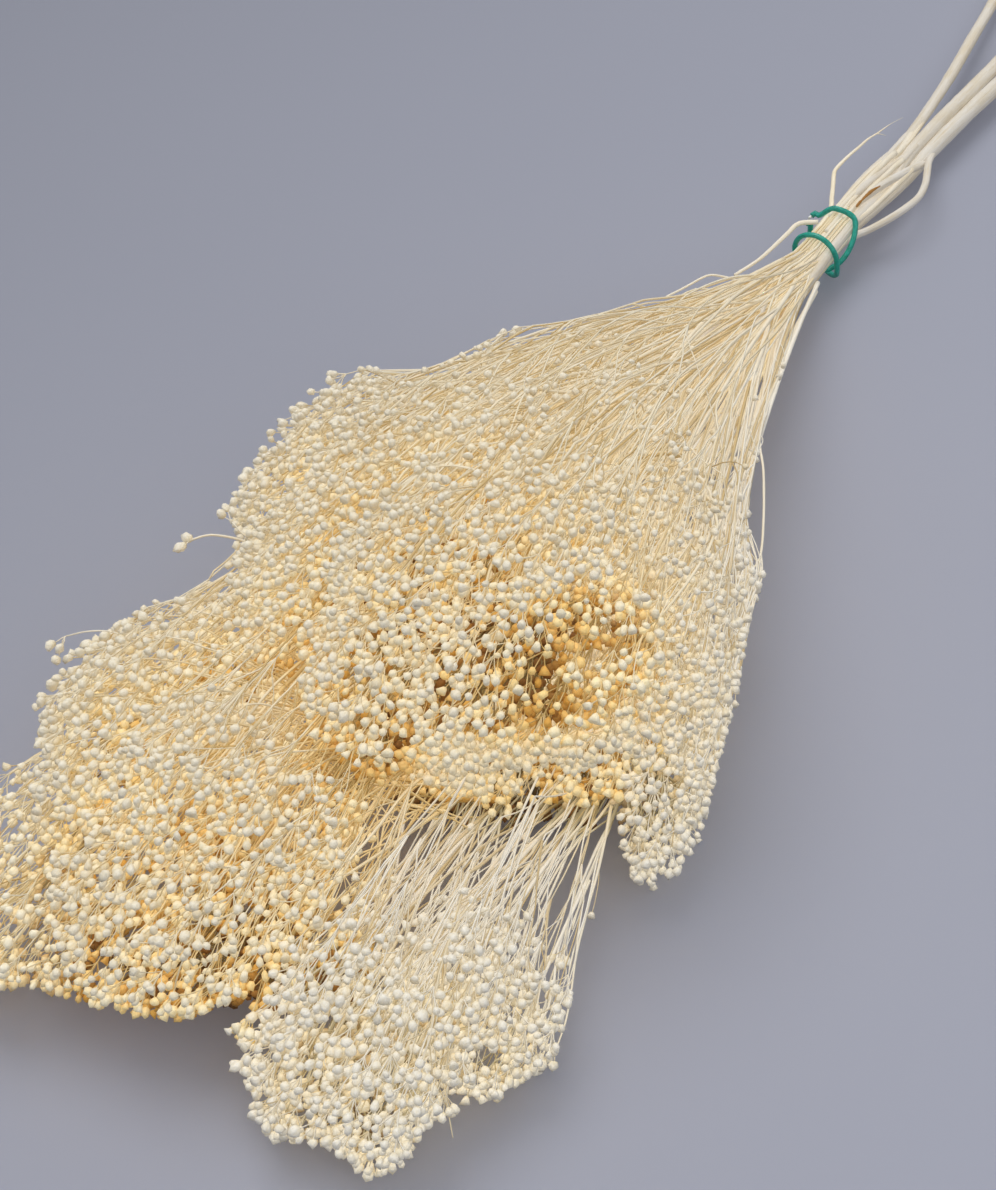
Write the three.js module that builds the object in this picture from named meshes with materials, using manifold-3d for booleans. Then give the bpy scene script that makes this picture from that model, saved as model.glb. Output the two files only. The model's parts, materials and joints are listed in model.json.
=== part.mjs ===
// Dried broom bloom: a tied bunch of three bleached stems, lying down.
// Millimetres, +Z up. The long axis is X: cut ends towards +X, flowers towards -X.
// The origin is under the middle of the bunch, on the surface that it lies on.
import * as THREE from 'three';
import { mergeVertices } from 'three/addons/utils/BufferGeometryUtils.js';
import Module from 'manifold-3d';

// ---- driving dimensions (mm) -------------------------------------------
// Place of the tie's own axes in the part: the tables below count from the tie.
const TIE_FROM_ORIGIN = [72.61, 1.38, 0];
const BUNDLE_CENTRE = [-2.5, 14.5];    // y and z of the bundle where the wire holds it
const WIRE_RADIUS = 1.1;               // plastic-coated tie wire
const WIRE_SIDES = 6;
const STEM_SIDES = 6;
const SHOOT_SIDES = 5;
const BRANCH_SIDES = 4;
const STALK_SIDES = 4;
const STALK_RADIUS = 0.42;
const LYING_DEPTH = 1.6;               // how far a cluster gives way where it lies on the surface

// The wire: angle round the bundle in degrees (0 is +Y, 90 the top), x, and distance
// of the wire's centre from the bundle's centre. Two turns, crossing underneath.
const WIRE_TURNS = [
  [22, 5.2, 9], [44, 5, 8.8], [67, 5, 8.65], [90, 5.2, 8.65], [112, 5.6, 8.7], [132, 5.4, 8.95],
  [150, 3.4, 8.8], [168, 0.8, 8.7], [186, -1.8, 8.65], [204, -4.2, 8.65], [224, -6.2, 8.65], [246, -7.9, 8.65],
  [270, -9.1, 8.65], [295, -9.9, 8.65], [320, -10.5, 8.65], [345, -10.9, 8.65], [370, -11, 8.7], [395, -11.1, 8.7],
  [420, -11.3, 8.65], [445, -11.5, 8.65], [470, -11.7, 8.65], [495, -11.9, 8.65], [518, -12, 8.7], [540, -12, 8.9],
  [560, -11.4, 9.6], [580, -9.6, 10.6], [600, -7.2, 11.2], [622, -4.4, 11.3], [645, -1.8, 11.2], [668, 0.4, 10.7],
  [690, 1.8, 10], [708, 2.4, 9.6],
];
// Its two short ends, side by side on the +Y side.
const WIRE_START = [[2.2, 11.6, 18.6], [3.6, 9.6, 18.8], [4.8, 7.9, 18.6]];
const WIRE_END = [[2.4, 7.8, 14.6], [1.6, 9.4, 15.6], [0.2, 11, 15.9]];

// A broken side twig that is held under the wire: [x, y, z, radius].
const KINKED_TWIG = [[-7, 2.18, 18.58, 0.85], [0, 2.28, 18.68, 0.9], [8.2, 2.88, 18.48, 0.95], [14.5, 6.8, 17.8, 0.95], [21, 9.2, 17.9, 0.95], [27.6, 11.3, 18, 0.9], [37, 10.8, 18.6, 0.75], [48.2, 7.9, 19.8, 0.55], [58.3, 5.7, 20.8, 0.4], [66, 4.4, 21.6, 0.28]];

// Each stem: its main shoot from the cut end to the fan, then its side shoots,
// every point [x, y, z, radius].
const STEMS = {
  stem_left: [
    [[231, 22.5, 2.1, 2.05], [200, 17, 4.2, 2.01], [171, 12, 6.2, 1.97], [142.06, 8.31, 7.76, 1.94], [114.14, 5.22, 9.07, 1.9], [87.82, 3.09, 9.74, 1.86], [62.8, 1.86, 9.28, 1.82], [38.25, 0.99, 6.03, 1.79], [14, -0.19, 9.56, 1.75], [-4, -0.19, 9.56, 1.75], [-14, -0.19, 9.56, 1.75], [-36.74, 1.83, 11, 1.55], [-58.76, 4.14, 16, 1.38], [-81.14, 6.39, 21.02, 1.21], [-104.29, 10.09, 25.32, 1.06], [-127.23, 14.44, 26.34, 0.9], [-150.03, 18.9, 28.1, 0.75]],
    [[64, 1.92, 9.3, 1.3], [51.81, 2.26, 12.12, 1.3], [39.49, 2.57, 13.85, 1.3], [26.89, 2.49, 15.04, 1.3], [14, 1.89, 15.59, 1.3], [-4, 1.89, 15.59, 1.3], [-14, 1.89, 15.59, 1.3], [-35.63, 5.63, 18.99, 1.1], [-57.34, 9.83, 22.41, 0.92], [-78, 16.72, 27.77, 0.75]],
    [[72, 2.31, 9.45, 1.35], [59.08, 1.55, 11.87, 1.35], [45.48, 1.15, 13.18, 1.35], [30.67, -0.44, 15.11, 1.35], [14, -1.16, 15.22, 1.35], [-4, -1.16, 15.22, 1.35], [-14, -1.16, 15.22, 1.35], [-34.29, 1.7, 19.21, 1.18], [-54.53, 5.29, 25.29, 1.03], [-75.02, 7.22, 33.61, 0.89], [-95.96, 7.84, 38.11, 0.75]],
  ],
  stem_middle: [
    [[222, -12.5, 2.75, 2.65], [196, -10, 4.6, 2.57], [165, -7.2, 6.6, 2.49], [135.66, -5.83, 8.12, 2.41], [107.88, -4.75, 9.43, 2.33], [82.2, -4.08, 10.42, 2.24], [58.41, -3.62, 10.98, 2.16], [36.08, -6.33, 13.03, 2.08], [14, -6.99, 17.12, 2], [-4, -6.99, 17.12, 2], [-14, -6.99, 17.12, 2], [-36.41, -8.41, 20.12, 1.71], [-58.21, -6.94, 26.51, 1.45], [-78.89, -5.21, 38.3, 1.21], [-99.95, -6.33, 48.28, 0.98], [-121.93, -9.92, 55.68, 0.75]],
    [[60, -3.65, 10.94, 1.3], [45.77, -2.65, 14.96, 1.3], [30.46, -0.17, 18.74, 1.3], [14, -0.23, 18.14, 1.3], [-4, -0.23, 18.14, 1.3], [-14, -0.23, 18.14, 1.3], [-33.78, -0.8, 25.46, 1.1], [-53.95, -0.66, 32.18, 0.92], [-74, -0.96, 40, 0.75]],
    [[70, -3.85, 10.71, 1.35], [57.26, -3.86, 12.17, 1.35], [43.96, -4.08, 13.29, 1.35], [29.57, -4.81, 14.26, 1.35], [14, -4.21, 14.57, 1.35], [-4, -4.21, 14.57, 1.35], [-14, -4.21, 14.57, 1.35], [-34.88, -6.32, 18.08, 1.23], [-55.64, -4.99, 20.86, 1.13], [-76.88, -3.47, 23.82, 1.03], [-97.83, -2.46, 26.87, 0.93], [-118.79, -1.4, 30.36, 0.84], [-140, -0.45, 33.41, 0.75]],
    [[52, -4.4, 11.57, 1.25], [39.57, -2.45, 11.91, 1.25], [26.88, -0.12, 11.52, 1.25], [14, 0.73, 12.86, 1.25], [-4, 0.73, 12.86, 1.25], [-14, 0.73, 12.86, 1.25], [-32.36, 2.12, 14.86, 1.06], [-51.06, 1.47, 16.49, 0.9], [-70, 0.89, 17.59, 0.75]],
  ],
  stem_right: [
    [[238, -26.5, 2.95, 2.85], [205, -23, 4.6, 2.74], [170, -18.6, 6.4, 2.62], [143.21, -15.81, 7.54, 2.51], [117.07, -13.33, 8.54, 2.4], [91.34, -11.26, 9.23, 2.29], [65.7, -9.59, 9.3, 2.17], [39.78, -8.05, 8.35, 2.06], [14, -4.96, 9.86, 1.95], [-4, -4.96, 9.86, 1.95], [-14, -4.96, 9.86, 1.95], [-36.67, -6.42, 12.11, 1.71], [-58.92, -8.67, 15.51, 1.5], [-81.11, -11.45, 18.33, 1.31], [-103.98, -14.11, 19.41, 1.12], [-127.09, -17.48, 20.04, 0.93], [-150, -20.99, 21.22, 0.75]],
    [[60, -9.25, 9.09, 1.35], [46.22, -7.63, 15.73, 1.35], [30.93, -3.61, 18.74, 1.35], [14, -3.24, 17.54, 1.35], [-4, -3.24, 17.54, 1.35], [-14, -3.24, 17.54, 1.35], [-34.48, -2.67, 21.13, 1.18], [-53.71, -4.81, 28.26, 1.03], [-72.25, -10.64, 36.6, 0.89], [-91.91, -16.24, 41.26, 0.75]],
    [[74, -10.13, 9.28, 1.35], [65.01, -12.49, 11.2, 1.35], [56.03, -15.08, 12.39, 1.35], [47.09, -17.14, 13.06, 1.35], [38.26, -17.84, 13.4, 1.35], [29.65, -16.83, 13.54, 1.35], [21.46, -14.34, 13.5, 1.35], [13.8, -10.9, 13.3, 1.35], [6.5, -7, 12.97, 1.35], [-4, -7, 12.97, 1.35], [-14, -7, 12.97, 1.35], [-37.66, -10.49, 17.49, 1.13], [-60.91, -16.01, 21.75, 0.93], [-84, -22.19, 23.19, 0.75]],
    [[50, -8.66, 8.72, 1.25], [37.95, -6.44, 9, 1.25], [25.91, -4.05, 10.1, 1.25], [14, -2.15, 12.36, 1.25], [-4, -2.15, 12.36, 1.25], [-14, -2.15, 12.36, 1.25], [-36.37, -5.48, 13.33, 1.11], [-58.95, -7.35, 19.14, 0.98], [-81.48, -9.8, 24.27, 0.86], [-104, -12.69, 29.69, 0.75]],
  ],
};

// Each spray: its branch [x, y, z, radius] from the stem outwards, and its heads, each
// [point of the branch it leaves, stalk x, y, z, cluster x, y, z, cluster radius].
const SPRAYS = {
  upper_spray_01: {
    branch: [[-25.66, 1.37, 19.87, 0.85], [-51.88, 5.23, 28.83, 0.8], [-78.35, 9.51, 38.76, 0.75], [-104.68, 14.16, 48.36, 0.7], [-129.68, 18.73, 56.36, 0.65], [-152.26, 22.9, 61.86, 0.6], [-172.49, 26.19, 64.42, 0.55], [-191.65, 28.59, 64.73, 0.5]],
    heads: [
      [7, -199.44, 29.51, 64.87, -205.82, 30.26, 64.97, 5.23],
      [5, -175.51, 20.79, 66.74, -191.14, 16.44, 59.4, 5.82],
      [5, -173.32, 32.87, 66.94, -185.06, 39.99, 67.07, 5.28],
      [5, -172.85, 25.72, 71.23, -184.22, 26.99, 74.86, 5.55],
    ],
  },
  upper_spray_02: {
    branch: [[-29.61, 1.71, 23.62, 0.85], [-56.08, 3.48, 32.88, 0.79], [-82.5, 4.93, 41.78, 0.73], [-107.89, 6.52, 49.39, 0.68], [-131.03, 8.08, 54.59, 0.62], [-151.67, 9.4, 57.48, 0.56], [-171, 10.58, 59.1, 0.5]],
    heads: [
      [6, -177.35, 11.1, 59.09, -180.58, 10.13, 58.22, 5.99],
      [4, -153.31, 4.1, 59.63, -165.79, 0.28, 59.32, 5.04],
      [4, -153.55, 14.87, 59.77, -166.44, 21.38, 57.6, 5.92],
      [4, -151.77, 8.82, 64.13, -163.13, 8.04, 67.26, 5.25],
    ],
  },
  upper_spray_03: {
    branch: [[-47.38, 1.93, 24.22, 0.85], [-72.34, 4.1, 34.42, 0.81], [-97.98, 7.16, 44.63, 0.76], [-124.17, 10.21, 54.93, 0.72], [-150.08, 13.16, 64.12, 0.68], [-174.66, 15.72, 70.9, 0.63], [-197.17, 17.81, 74.72, 0.59], [-217.7, 19.63, 76.11, 0.54], [-237.31, 21.34, 76.26, 0.5]],
    heads: [
      [8, -246.06, 22.04, 75.81, -253.44, 23.7, 73.61, 5.2],
      [6, -219.81, 12.01, 78.81, -234.12, 6.74, 78.19, 5.15],
      [6, -218.35, 27.28, 79.2, -231.46, 34.52, 78.81, 5.85],
      [6, -217.5, 18.04, 84.51, -230.35, 18.14, 88.64, 5.54],
    ],
  },
  upper_spray_04: {
    branch: [[-43.62, -6.23, 24.57, 0.85], [-65.97, -7.76, 37.12, 0.81], [-91.06, -5.89, 46.7, 0.76], [-115.97, -4.76, 57.14, 0.72], [-140.13, -4.09, 67.33, 0.68], [-163.42, -3.57, 75.06, 0.63], [-185.28, -3.32, 79.69, 0.59], [-205.88, -3.3, 81.78, 0.54], [-225.99, -3.4, 82.56, 0.5]],
    heads: [
      [8, -235.21, -3.18, 83.56, -243.48, -1.99, 81.53, 5.6],
      [6, -205.95, -11.19, 84.93, -220.49, -17.72, 84.18, 5.15],
      [6, -207.32, 4.57, 85.12, -222.32, 10.37, 85.23, 5.59],
      [6, -203.77, -4.13, 90.37, -216.17, -5.15, 94.86, 5.15],
    ],
  },
  upper_spray_05: {
    branch: [[-74.7, -0.97, 40.28, 0.85], [-95.09, -4.45, 50.72, 0.79], [-116.41, -7.96, 59.23, 0.73], [-138, -11.3, 65.37, 0.68], [-158.69, -14.23, 69.56, 0.62], [-178.59, -16.65, 71.79, 0.56], [-198.25, -18.78, 72.98, 0.5]],
    heads: [
      [6, -206.46, -19.2, 73.47, -213.5, -17.35, 73.85, 5.1],
      [4, -180.23, -23.49, 73.72, -195.95, -29.81, 73.48, 5.3],
      [4, -177.56, -10.14, 74.53, -191.63, -3.83, 73.19, 5.85],
      [4, -177.14, -17.63, 79.54, -190.6, -18, 83.72, 5.15],
    ],
  },
  upper_spray_06: {
    branch: [[-70.73, 5.44, 30.16, 0.85], [-96.72, 6.38, 36.59, 0.81], [-123.19, 9.31, 45.76, 0.76], [-150.13, 12.6, 55.35, 0.72], [-176.65, 16.3, 63.73, 0.68], [-201.82, 19.71, 68.23, 0.63], [-224.82, 21.93, 67.84, 0.59], [-245.16, 23.75, 65.9, 0.54], [-264.15, 25.4, 63.28, 0.5]],
    heads: [
      [8, -273.05, 26.44, 62.02, -280.33, 27.28, 60.99, 5.18],
      [6, -248.39, 16.3, 66.47, -261.97, 11.22, 63.65, 5.38],
      [6, -246.43, 30.76, 68.46, -258.41, 37.52, 67.27, 5.88],
      [6, -246.77, 23.47, 77.56, -260.11, 23.7, 83.01, 5.75],
    ],
  },
  upper_spray_07: {
    branch: [[-81.98, -7.09, 38.03, 0.85], [-105.67, -8.05, 46.2, 0.81], [-129.83, -7.7, 56.81, 0.76], [-154.77, -7.8, 67.1, 0.72], [-179.53, -8.16, 76.05, 0.68], [-203.27, -8.23, 81.6, 0.63], [-225.22, -8.26, 83.58, 0.59], [-245.37, -8.45, 83.32, 0.54], [-264.72, -7.47, 81.48, 0.5]],
    heads: [
      [8, -273.8, -7.35, 81.5, -283.16, -7.37, 81.68, 5.12],
      [6, -244.95, -15.14, 83.58, -257.75, -21.9, 82.05, 5.52],
      [6, -247.52, 3.55, 88.77, -264.18, 8.15, 83.48, 5.68],
      [6, -245.76, -7.8, 92.44, -258.77, -8.82, 96.61, 5.91],
    ],
  },
  upper_spray_08: {
    branch: [[-63.02, -9.11, 28.58, 0.85], [-88.38, -11.6, 37.79, 0.81], [-112.87, -14.69, 51.2, 0.76], [-138.23, -17.76, 63.57, 0.72], [-163.57, -20.89, 73.98, 0.68], [-187.86, -23.87, 81.31, 0.63], [-210.43, -26.45, 85.14, 0.59], [-231.39, -28.75, 86.15, 0.54], [-251.67, -30.99, 85.74, 0.5]],
    heads: [
      [8, -260.85, -31.58, 85.36, -266.32, -34.84, 87.4, 5.75],
      [6, -231.23, -36.89, 88.44, -244.52, -44.84, 87.36, 5.82],
      [6, -233.59, -20.75, 89.25, -249.33, -15.56, 89.47, 5.51],
      [6, -228.98, -28.71, 96.48, -240.66, -30.3, 101.24, 5.36],
    ],
  },
  upper_spray_09: {
    branch: [[-33.55, -5.14, 20.71, 0.85], [-56.52, -12.06, 33.3, 0.81], [-82.5, -16.85, 42.43, 0.76], [-108.37, -22.28, 52.09, 0.72], [-133.88, -27.73, 60.79, 0.68], [-158.12, -32.88, 67.25, 0.63], [-180.52, -37.51, 70.88, 0.59], [-201.29, -41.67, 72.13, 0.54], [-221.37, -45.6, 72.15, 0.5]],
    heads: [
      [8, -231.23, -46.6, 72.4, -240.07, -48.23, 72.63, 5.57],
      [6, -202.39, -49.49, 73.79, -216.63, -58.04, 72.75, 5.44],
      [6, -204.92, -35.37, 75, -221.44, -32.49, 74.35, 5.9],
      [6, -199.25, -42.83, 80.86, -211.14, -46.22, 85.01, 5.88],
    ],
  },
  upper_spray_10: {
    branch: [[-122.63, -10.04, 55.92, 0.85], [-147.14, -9.41, 60.67, 0.8], [-172.13, -8.08, 64.58, 0.75], [-197.17, -6.74, 66.91, 0.7], [-220.82, -5.54, 67.29, 0.65], [-241.93, -4.75, 65.58, 0.6], [-260.5, -4.37, 62.27, 0.55], [-277.81, -4.22, 58.13, 0.5]],
    heads: [
      [7, -283.69, -3.96, 55.86, -288.5, -3.75, 54, 5.43],
      [5, -262.76, -12.09, 63.83, -274.64, -19.31, 59.35, 5.81],
      [5, -262.67, 4.1, 65.01, -274.24, 10.56, 62.17, 5.33],
      [5, -263.35, -4.17, 73.46, -274.32, -3.72, 76.47, 5.21],
    ],
  },
  upper_spray_11: {
    branch: [[-100.35, -8.23, 47.13, 0.85], [-128.02, -12.71, 53.79, 0.8], [-156.31, -16.04, 60.82, 0.75], [-184.52, -19.43, 66.46, 0.7], [-211.08, -22.45, 69.56, 0.65], [-234.54, -24.62, 69.83, 0.6], [-254.68, -26.17, 67.82, 0.55], [-272.91, -28.42, 64.55, 0.5]],
    heads: [
      [7, -279.09, -29.03, 63.33, -284.27, -29.04, 62.4, 5.48],
      [5, -254.79, -37.45, 71.26, -266.16, -41.56, 66.69, 5.96],
      [5, -258.99, -19.26, 70.62, -271.62, -13.25, 68.7, 5.18],
      [5, -258.2, -28.02, 78.93, -273.22, -27, 81.19, 5.82],
    ],
  },
  upper_spray_12: {
    branch: [[-92.62, -16.44, 41.43, 0.85], [-118.81, -21.78, 50.02, 0.8], [-145.57, -27.14, 57.89, 0.75], [-172.29, -32.34, 64.09, 0.7], [-197.51, -37.06, 67.65, 0.65], [-219.9, -41.11, 68.31, 0.6], [-239.36, -44.66, 66.88, 0.55], [-257.32, -48.22, 64.75, 0.5]],
    heads: [
      [7, -262.76, -49.96, 63.52, -267.4, -52.81, 61.8, 5.8],
      [5, -240.24, -54.53, 68.17, -251.79, -62.29, 65.78, 5.05],
      [5, -243.35, -37.3, 70.6, -256.43, -32.77, 67.27, 5.25],
      [5, -241.99, -46.15, 80.21, -254.75, -50.1, 83.33, 5.59],
    ],
  },
  upper_spray_13: {
    branch: [[-61.43, -8.73, 30.06, 0.85], [-87.16, -19.44, 41.21, 0.8], [-115.48, -27.65, 46.24, 0.75], [-143.46, -36.19, 51.39, 0.7], [-169.88, -44.25, 54.87, 0.65], [-193.63, -51.24, 56, 0.6], [-214.68, -57.11, 55.08, 0.55], [-234.38, -62.39, 53.1, 0.5]],
    heads: [
      [7, -243.21, -65.03, 51.92, -250.43, -67.2, 50.96, 5.31],
      [5, -216.54, -65.32, 57.49, -229.6, -74.74, 56.14, 5.66],
      [5, -220.23, -51.08, 58.39, -236.19, -48.58, 56.94, 5.04],
      [5, -216.91, -60.12, 66.48, -229.89, -64.63, 72.47, 5.05],
    ],
  },
  upper_spray_14: {
    branch: [[-104.72, -12.78, 29.86, 0.85], [-132.59, -16.61, 35.15, 0.8], [-160.88, -20.35, 39.66, 0.75], [-188.73, -23.88, 42.56, 0.7], [-214.26, -26.99, 43.2, 0.65], [-235.69, -29.54, 41.6, 0.6], [-252.75, -31.55, 38.53, 0.55], [-267.4, -33.25, 34.78, 0.5]],
    heads: [
      [7, -270.17, -33.96, 33.44, -272.33, -35.64, 32.41, 5.63],
      [5, -257.24, -36.71, 40.05, -263.83, -42.98, 36.49, 5.8],
      [5, -257.75, -25.05, 40.53, -266.43, -20.25, 38, 5.2],
      [5, -257.44, -32.84, 47.28, -265.87, -34.43, 50.27, 5.1],
    ],
  },
  upper_spray_15: {
    branch: [[-29.87, -6.5, 14.43, 0.85], [-54.25, -10.38, 19.37, 0.81], [-79.75, -13.93, 24.21, 0.78], [-106.21, -18.84, 29.66, 0.74], [-133.18, -24.58, 34.94, 0.71], [-159.71, -30.63, 39.2, 0.68], [-184.66, -36.46, 41.62, 0.64], [-206.88, -41.59, 41.79, 0.6], [-225.54, -45.75, 39.87, 0.57], [-240.78, -49, 36.63, 0.54], [-254.2, -51.75, 32.78, 0.5]],
    heads: [
      [10, -258.1, -52.45, 31.71, -261.05, -54.21, 30.48, 5.8],
      [8, -242.23, -55.73, 37.39, -248.83, -62.08, 33.93, 5.89],
      [8, -244.79, -43.11, 38.82, -252.74, -39.71, 35.79, 5.21],
      [8, -244.39, -51.16, 45.58, -252.76, -53.78, 48.83, 5.25],
    ],
  },
  left_spray_01: {
    branch: [[-53.32, 10.88, 23.03, 0.85], [-78.45, 18.61, 31.71, 0.8], [-103.97, 26.39, 40.28, 0.75], [-129.29, 34.17, 48.11, 0.7], [-153.14, 41.4, 54.04, 0.65], [-174.33, 47.57, 57.35, 0.6], [-192.7, 52.66, 58.4, 0.55], [-209.56, 57.17, 58.27, 0.5]],
    heads: [
      [7, -214.65, 58.64, 58.45, -216.14, 58.92, 60.38, 5.38],
      [5, -197.09, 48.11, 61.03, -209.48, 46.32, 60.21, 5.38],
      [5, -192.09, 59.26, 60.65, -200.37, 66.6, 59.51, 5.25],
      [5, -193.76, 52.76, 67.75, -203.41, 54.78, 72.42, 5.75],
    ],
  },
  left_spray_02: {
    branch: [[-78.69, 16.95, 27.95, 0.85], [-102.5, 24.95, 33.84, 0.8], [-126.73, 33.08, 39.35, 0.75], [-150.85, 41.07, 43.77, 0.7], [-173.62, 48.37, 46.35, 0.65], [-193.88, 54.57, 46.78, 0.6], [-211.54, 59.69, 45.49, 0.55], [-227.87, 64.25, 43.33, 0.5]],
    heads: [
      [7, -232.94, 65.95, 43.17, -237.08, 67.35, 43.03, 5.76],
      [5, -215.75, 54.89, 47.12, -228, 52.98, 44.72, 5.08],
      [5, -212.57, 66.07, 47.46, -222.21, 73.3, 45.33, 5.83],
      [5, -213.18, 59.47, 53.44, -226.69, 62.07, 56.07, 5.88],
      [6, -247.6, 62.73, 50, -256.59, 72.14, 52, 2],
    ],
  },
  middle_spray_01: {
    branch: [[-96.7, 7.86, 38.27, 0.85], [-121.01, 13.06, 43.19, 0.81], [-146.28, 18.07, 47.02, 0.76], [-172.24, 23.43, 49.6, 0.72], [-197.84, 28.81, 50.59, 0.68], [-221.79, 33.82, 49.85, 0.63], [-243.23, 38.16, 47.6, 0.59], [-262.54, 41.26, 44.32, 0.54], [-280.95, 43.29, 40.56, 0.5]],
    heads: [
      [8, -288.35, 44.98, 40.12, -293.74, 46.9, 38.85, 5.73],
      [6, -265.85, 33.35, 46.39, -279.26, 29.8, 42.74, 5.37],
      [6, -263.66, 47.48, 45.2, -275.02, 56.62, 42.56, 5.19],
      [6, -264.46, 40.22, 55, -276.92, 41.43, 59.47, 5.9],
    ],
  },
  middle_spray_02: {
    branch: [[-29.83, 3.66, 12.1, 0.85], [-55.15, 6.99, 15.89, 0.82], [-81.42, 10.86, 20.36, 0.79], [-108.91, 15.62, 25.76, 0.75], [-137.32, 21.08, 31.66, 0.72], [-165.97, 26.92, 37.41, 0.69], [-194.03, 32.81, 42.31, 0.66], [-220.62, 38.42, 45.74, 0.63], [-245, 43.52, 47.41, 0.6], [-266.66, 47.77, 46.82, 0.56], [-285.94, 51.17, 44.14, 0.53], [-304.14, 54.33, 40.97, 0.5]],
    heads: [
      [11, -311.55, 54.77, 39.54, -317.64, 55.18, 38.31, 5.64],
      [9, -287.68, 44.39, 44.23, -301.25, 37.98, 44.05, 5.84],
      [9, -287.57, 57.74, 47.1, -299.29, 66.12, 44.36, 5.18],
      [9, -287.47, 50.63, 55.13, -299.88, 52.02, 60.4, 5.44],
      [10, -297.41, 68.65, 56, -303.08, 80.26, 48, 2],
    ],
  },
  middle_spray_03: {
    branch: [[-68.64, 5.21, 15.64, 0.85], [-96.16, 11.16, 18.8, 0.81], [-124.75, 16.59, 24.37, 0.78], [-154.85, 21.64, 30.39, 0.74], [-185.61, 26.94, 36.34, 0.71], [-216.11, 32.08, 41.37, 0.68], [-245.19, 36.75, 44.8, 0.64], [-271.53, 41.25, 46.27, 0.6], [-294.33, 45.25, 45.52, 0.57], [-313.82, 48.57, 42.52, 0.54], [-331.73, 51.53, 38.96, 0.5]],
    heads: [
      [10, -338.01, 53, 37.29, -342.88, 53.7, 35.85, 5.84],
      [8, -318.09, 43.78, 43.21, -332.2, 40.12, 38.89, 5.72],
      [8, -315.27, 56.19, 45.06, -326.18, 62.9, 42.21, 5.39],
      [8, -316.24, 48.64, 51.71, -327.82, 49.62, 55.49, 5.15],
    ],
  },
  middle_spray_04: {
    branch: [[-53.53, -3.38, 18.92, 0.85], [-79.15, -0.49, 23.11, 0.82], [-105.74, 1.89, 28.31, 0.79], [-133.67, 4.49, 34.03, 0.75], [-162.6, 7.37, 39.82, 0.72], [-191.79, 10.41, 45.05, 0.69], [-220.32, 13.44, 49.05, 0.66], [-247.24, 16.23, 51.27, 0.63], [-271.67, 18.62, 51.4, 0.6], [-293.09, 20.54, 49.56, 0.56], [-311.84, 22.07, 46.35, 0.53], [-329.27, 23.39, 42.46, 0.5]],
    heads: [
      [11, -335.47, 23.34, 40.7, -340.33, 23.82, 39.93, 5.12],
      [9, -313.87, 14.36, 47.7, -326.47, 7.27, 45.73, 5.57],
      [9, -313.48, 29.41, 48.07, -323.59, 35.23, 46.02, 5.91],
      [9, -315.83, 21.77, 56.04, -329, 22.06, 59.53, 5.47],
    ],
  },
  middle_spray_05: {
    branch: [[-25.91, -2.89, 16.93, 0.85], [-50.81, -1.99, 20.81, 0.82], [-76.65, -1.57, 25.29, 0.79], [-103.94, -1.36, 29.96, 0.76], [-132.44, -1.07, 34.77, 0.73], [-161.56, -0.7, 39.06, 0.7], [-190.54, -0.25, 42.96, 0.68], [-218.57, 0.19, 45.73, 0.65], [-244.84, 0.59, 46.91, 0.62], [-268.66, 0.9, 46.27, 0.59], [-289.62, 1.12, 43.96, 0.56], [-308.1, 1.27, 40.49, 0.53], [-325.38, 1.38, 36.46, 0.5]],
    heads: [
      [12, -332.03, 2.04, 34.39, -337.87, 1.94, 33.72, 5.72],
      [10, -310, -6.28, 42.56, -321.15, -12.11, 40.27, 5.89],
      [10, -310.48, 7.68, 42.41, -321.48, 14.25, 38.27, 5.23],
      [10, -309.75, 0.43, 51.78, -321.19, -0.26, 56.68, 5.18],
    ],
  },
  middle_spray_06: {
    branch: [[-140.74, -0.41, 33.52, 0.85], [-165.72, 3.19, 36.63, 0.81], [-191.59, 7.23, 39.35, 0.77], [-218.39, 11.77, 41.3, 0.73], [-245.34, 16.53, 42.08, 0.69], [-271.23, 21.06, 41.39, 0.66], [-294.83, 24.92, 39.13, 0.62], [-315.34, 27.89, 35.51, 0.58], [-332.99, 30.08, 31.02, 0.54], [-349.21, 31.89, 26.11, 0.5]],
    heads: [
      [9, -354.28, 32.76, 24.42, -358.43, 33.47, 23.03, 5.67],
      [7, -336.14, 23.71, 31.79, -350.04, 19.65, 25.51, 5.52],
      [7, -334.71, 37.64, 32.72, -344.71, 42.73, 30.78, 5.79],
      [7, -337.5, 29.93, 39.5, -349.86, 29.85, 41.82, 5.11],
    ],
  },
  middle_spray_07: {
    branch: [[-108.9, -2.12, 26.57, 0.85], [-133.98, -1.28, 29.42, 0.81], [-159.88, -0.3, 33.31, 0.78], [-187.08, 0.66, 36.72, 0.74], [-214.99, 1.58, 39.34, 0.71], [-242.6, 2.43, 40.71, 0.68], [-268.75, 3.2, 40.45, 0.64], [-292.36, 3.9, 38.36, 0.6], [-312.76, 4.56, 34.6, 0.57], [-330.3, 5.15, 29.8, 0.54], [-346.51, 5.56, 24.72, 0.5]],
    heads: [
      [10, -352.53, 5.68, 23.78, -357.16, 6.52, 21.88, 5.97],
      [8, -333.47, -2.57, 31.09, -344.69, -7.23, 27.07, 5.91],
      [8, -332.92, 11.58, 34, -342.32, 16.13, 32.71, 5.07],
      [8, -333.18, 4.22, 39.76, -344.68, 4.4, 43.33, 5.76],
    ],
  },
  middle_spray_08: {
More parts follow.
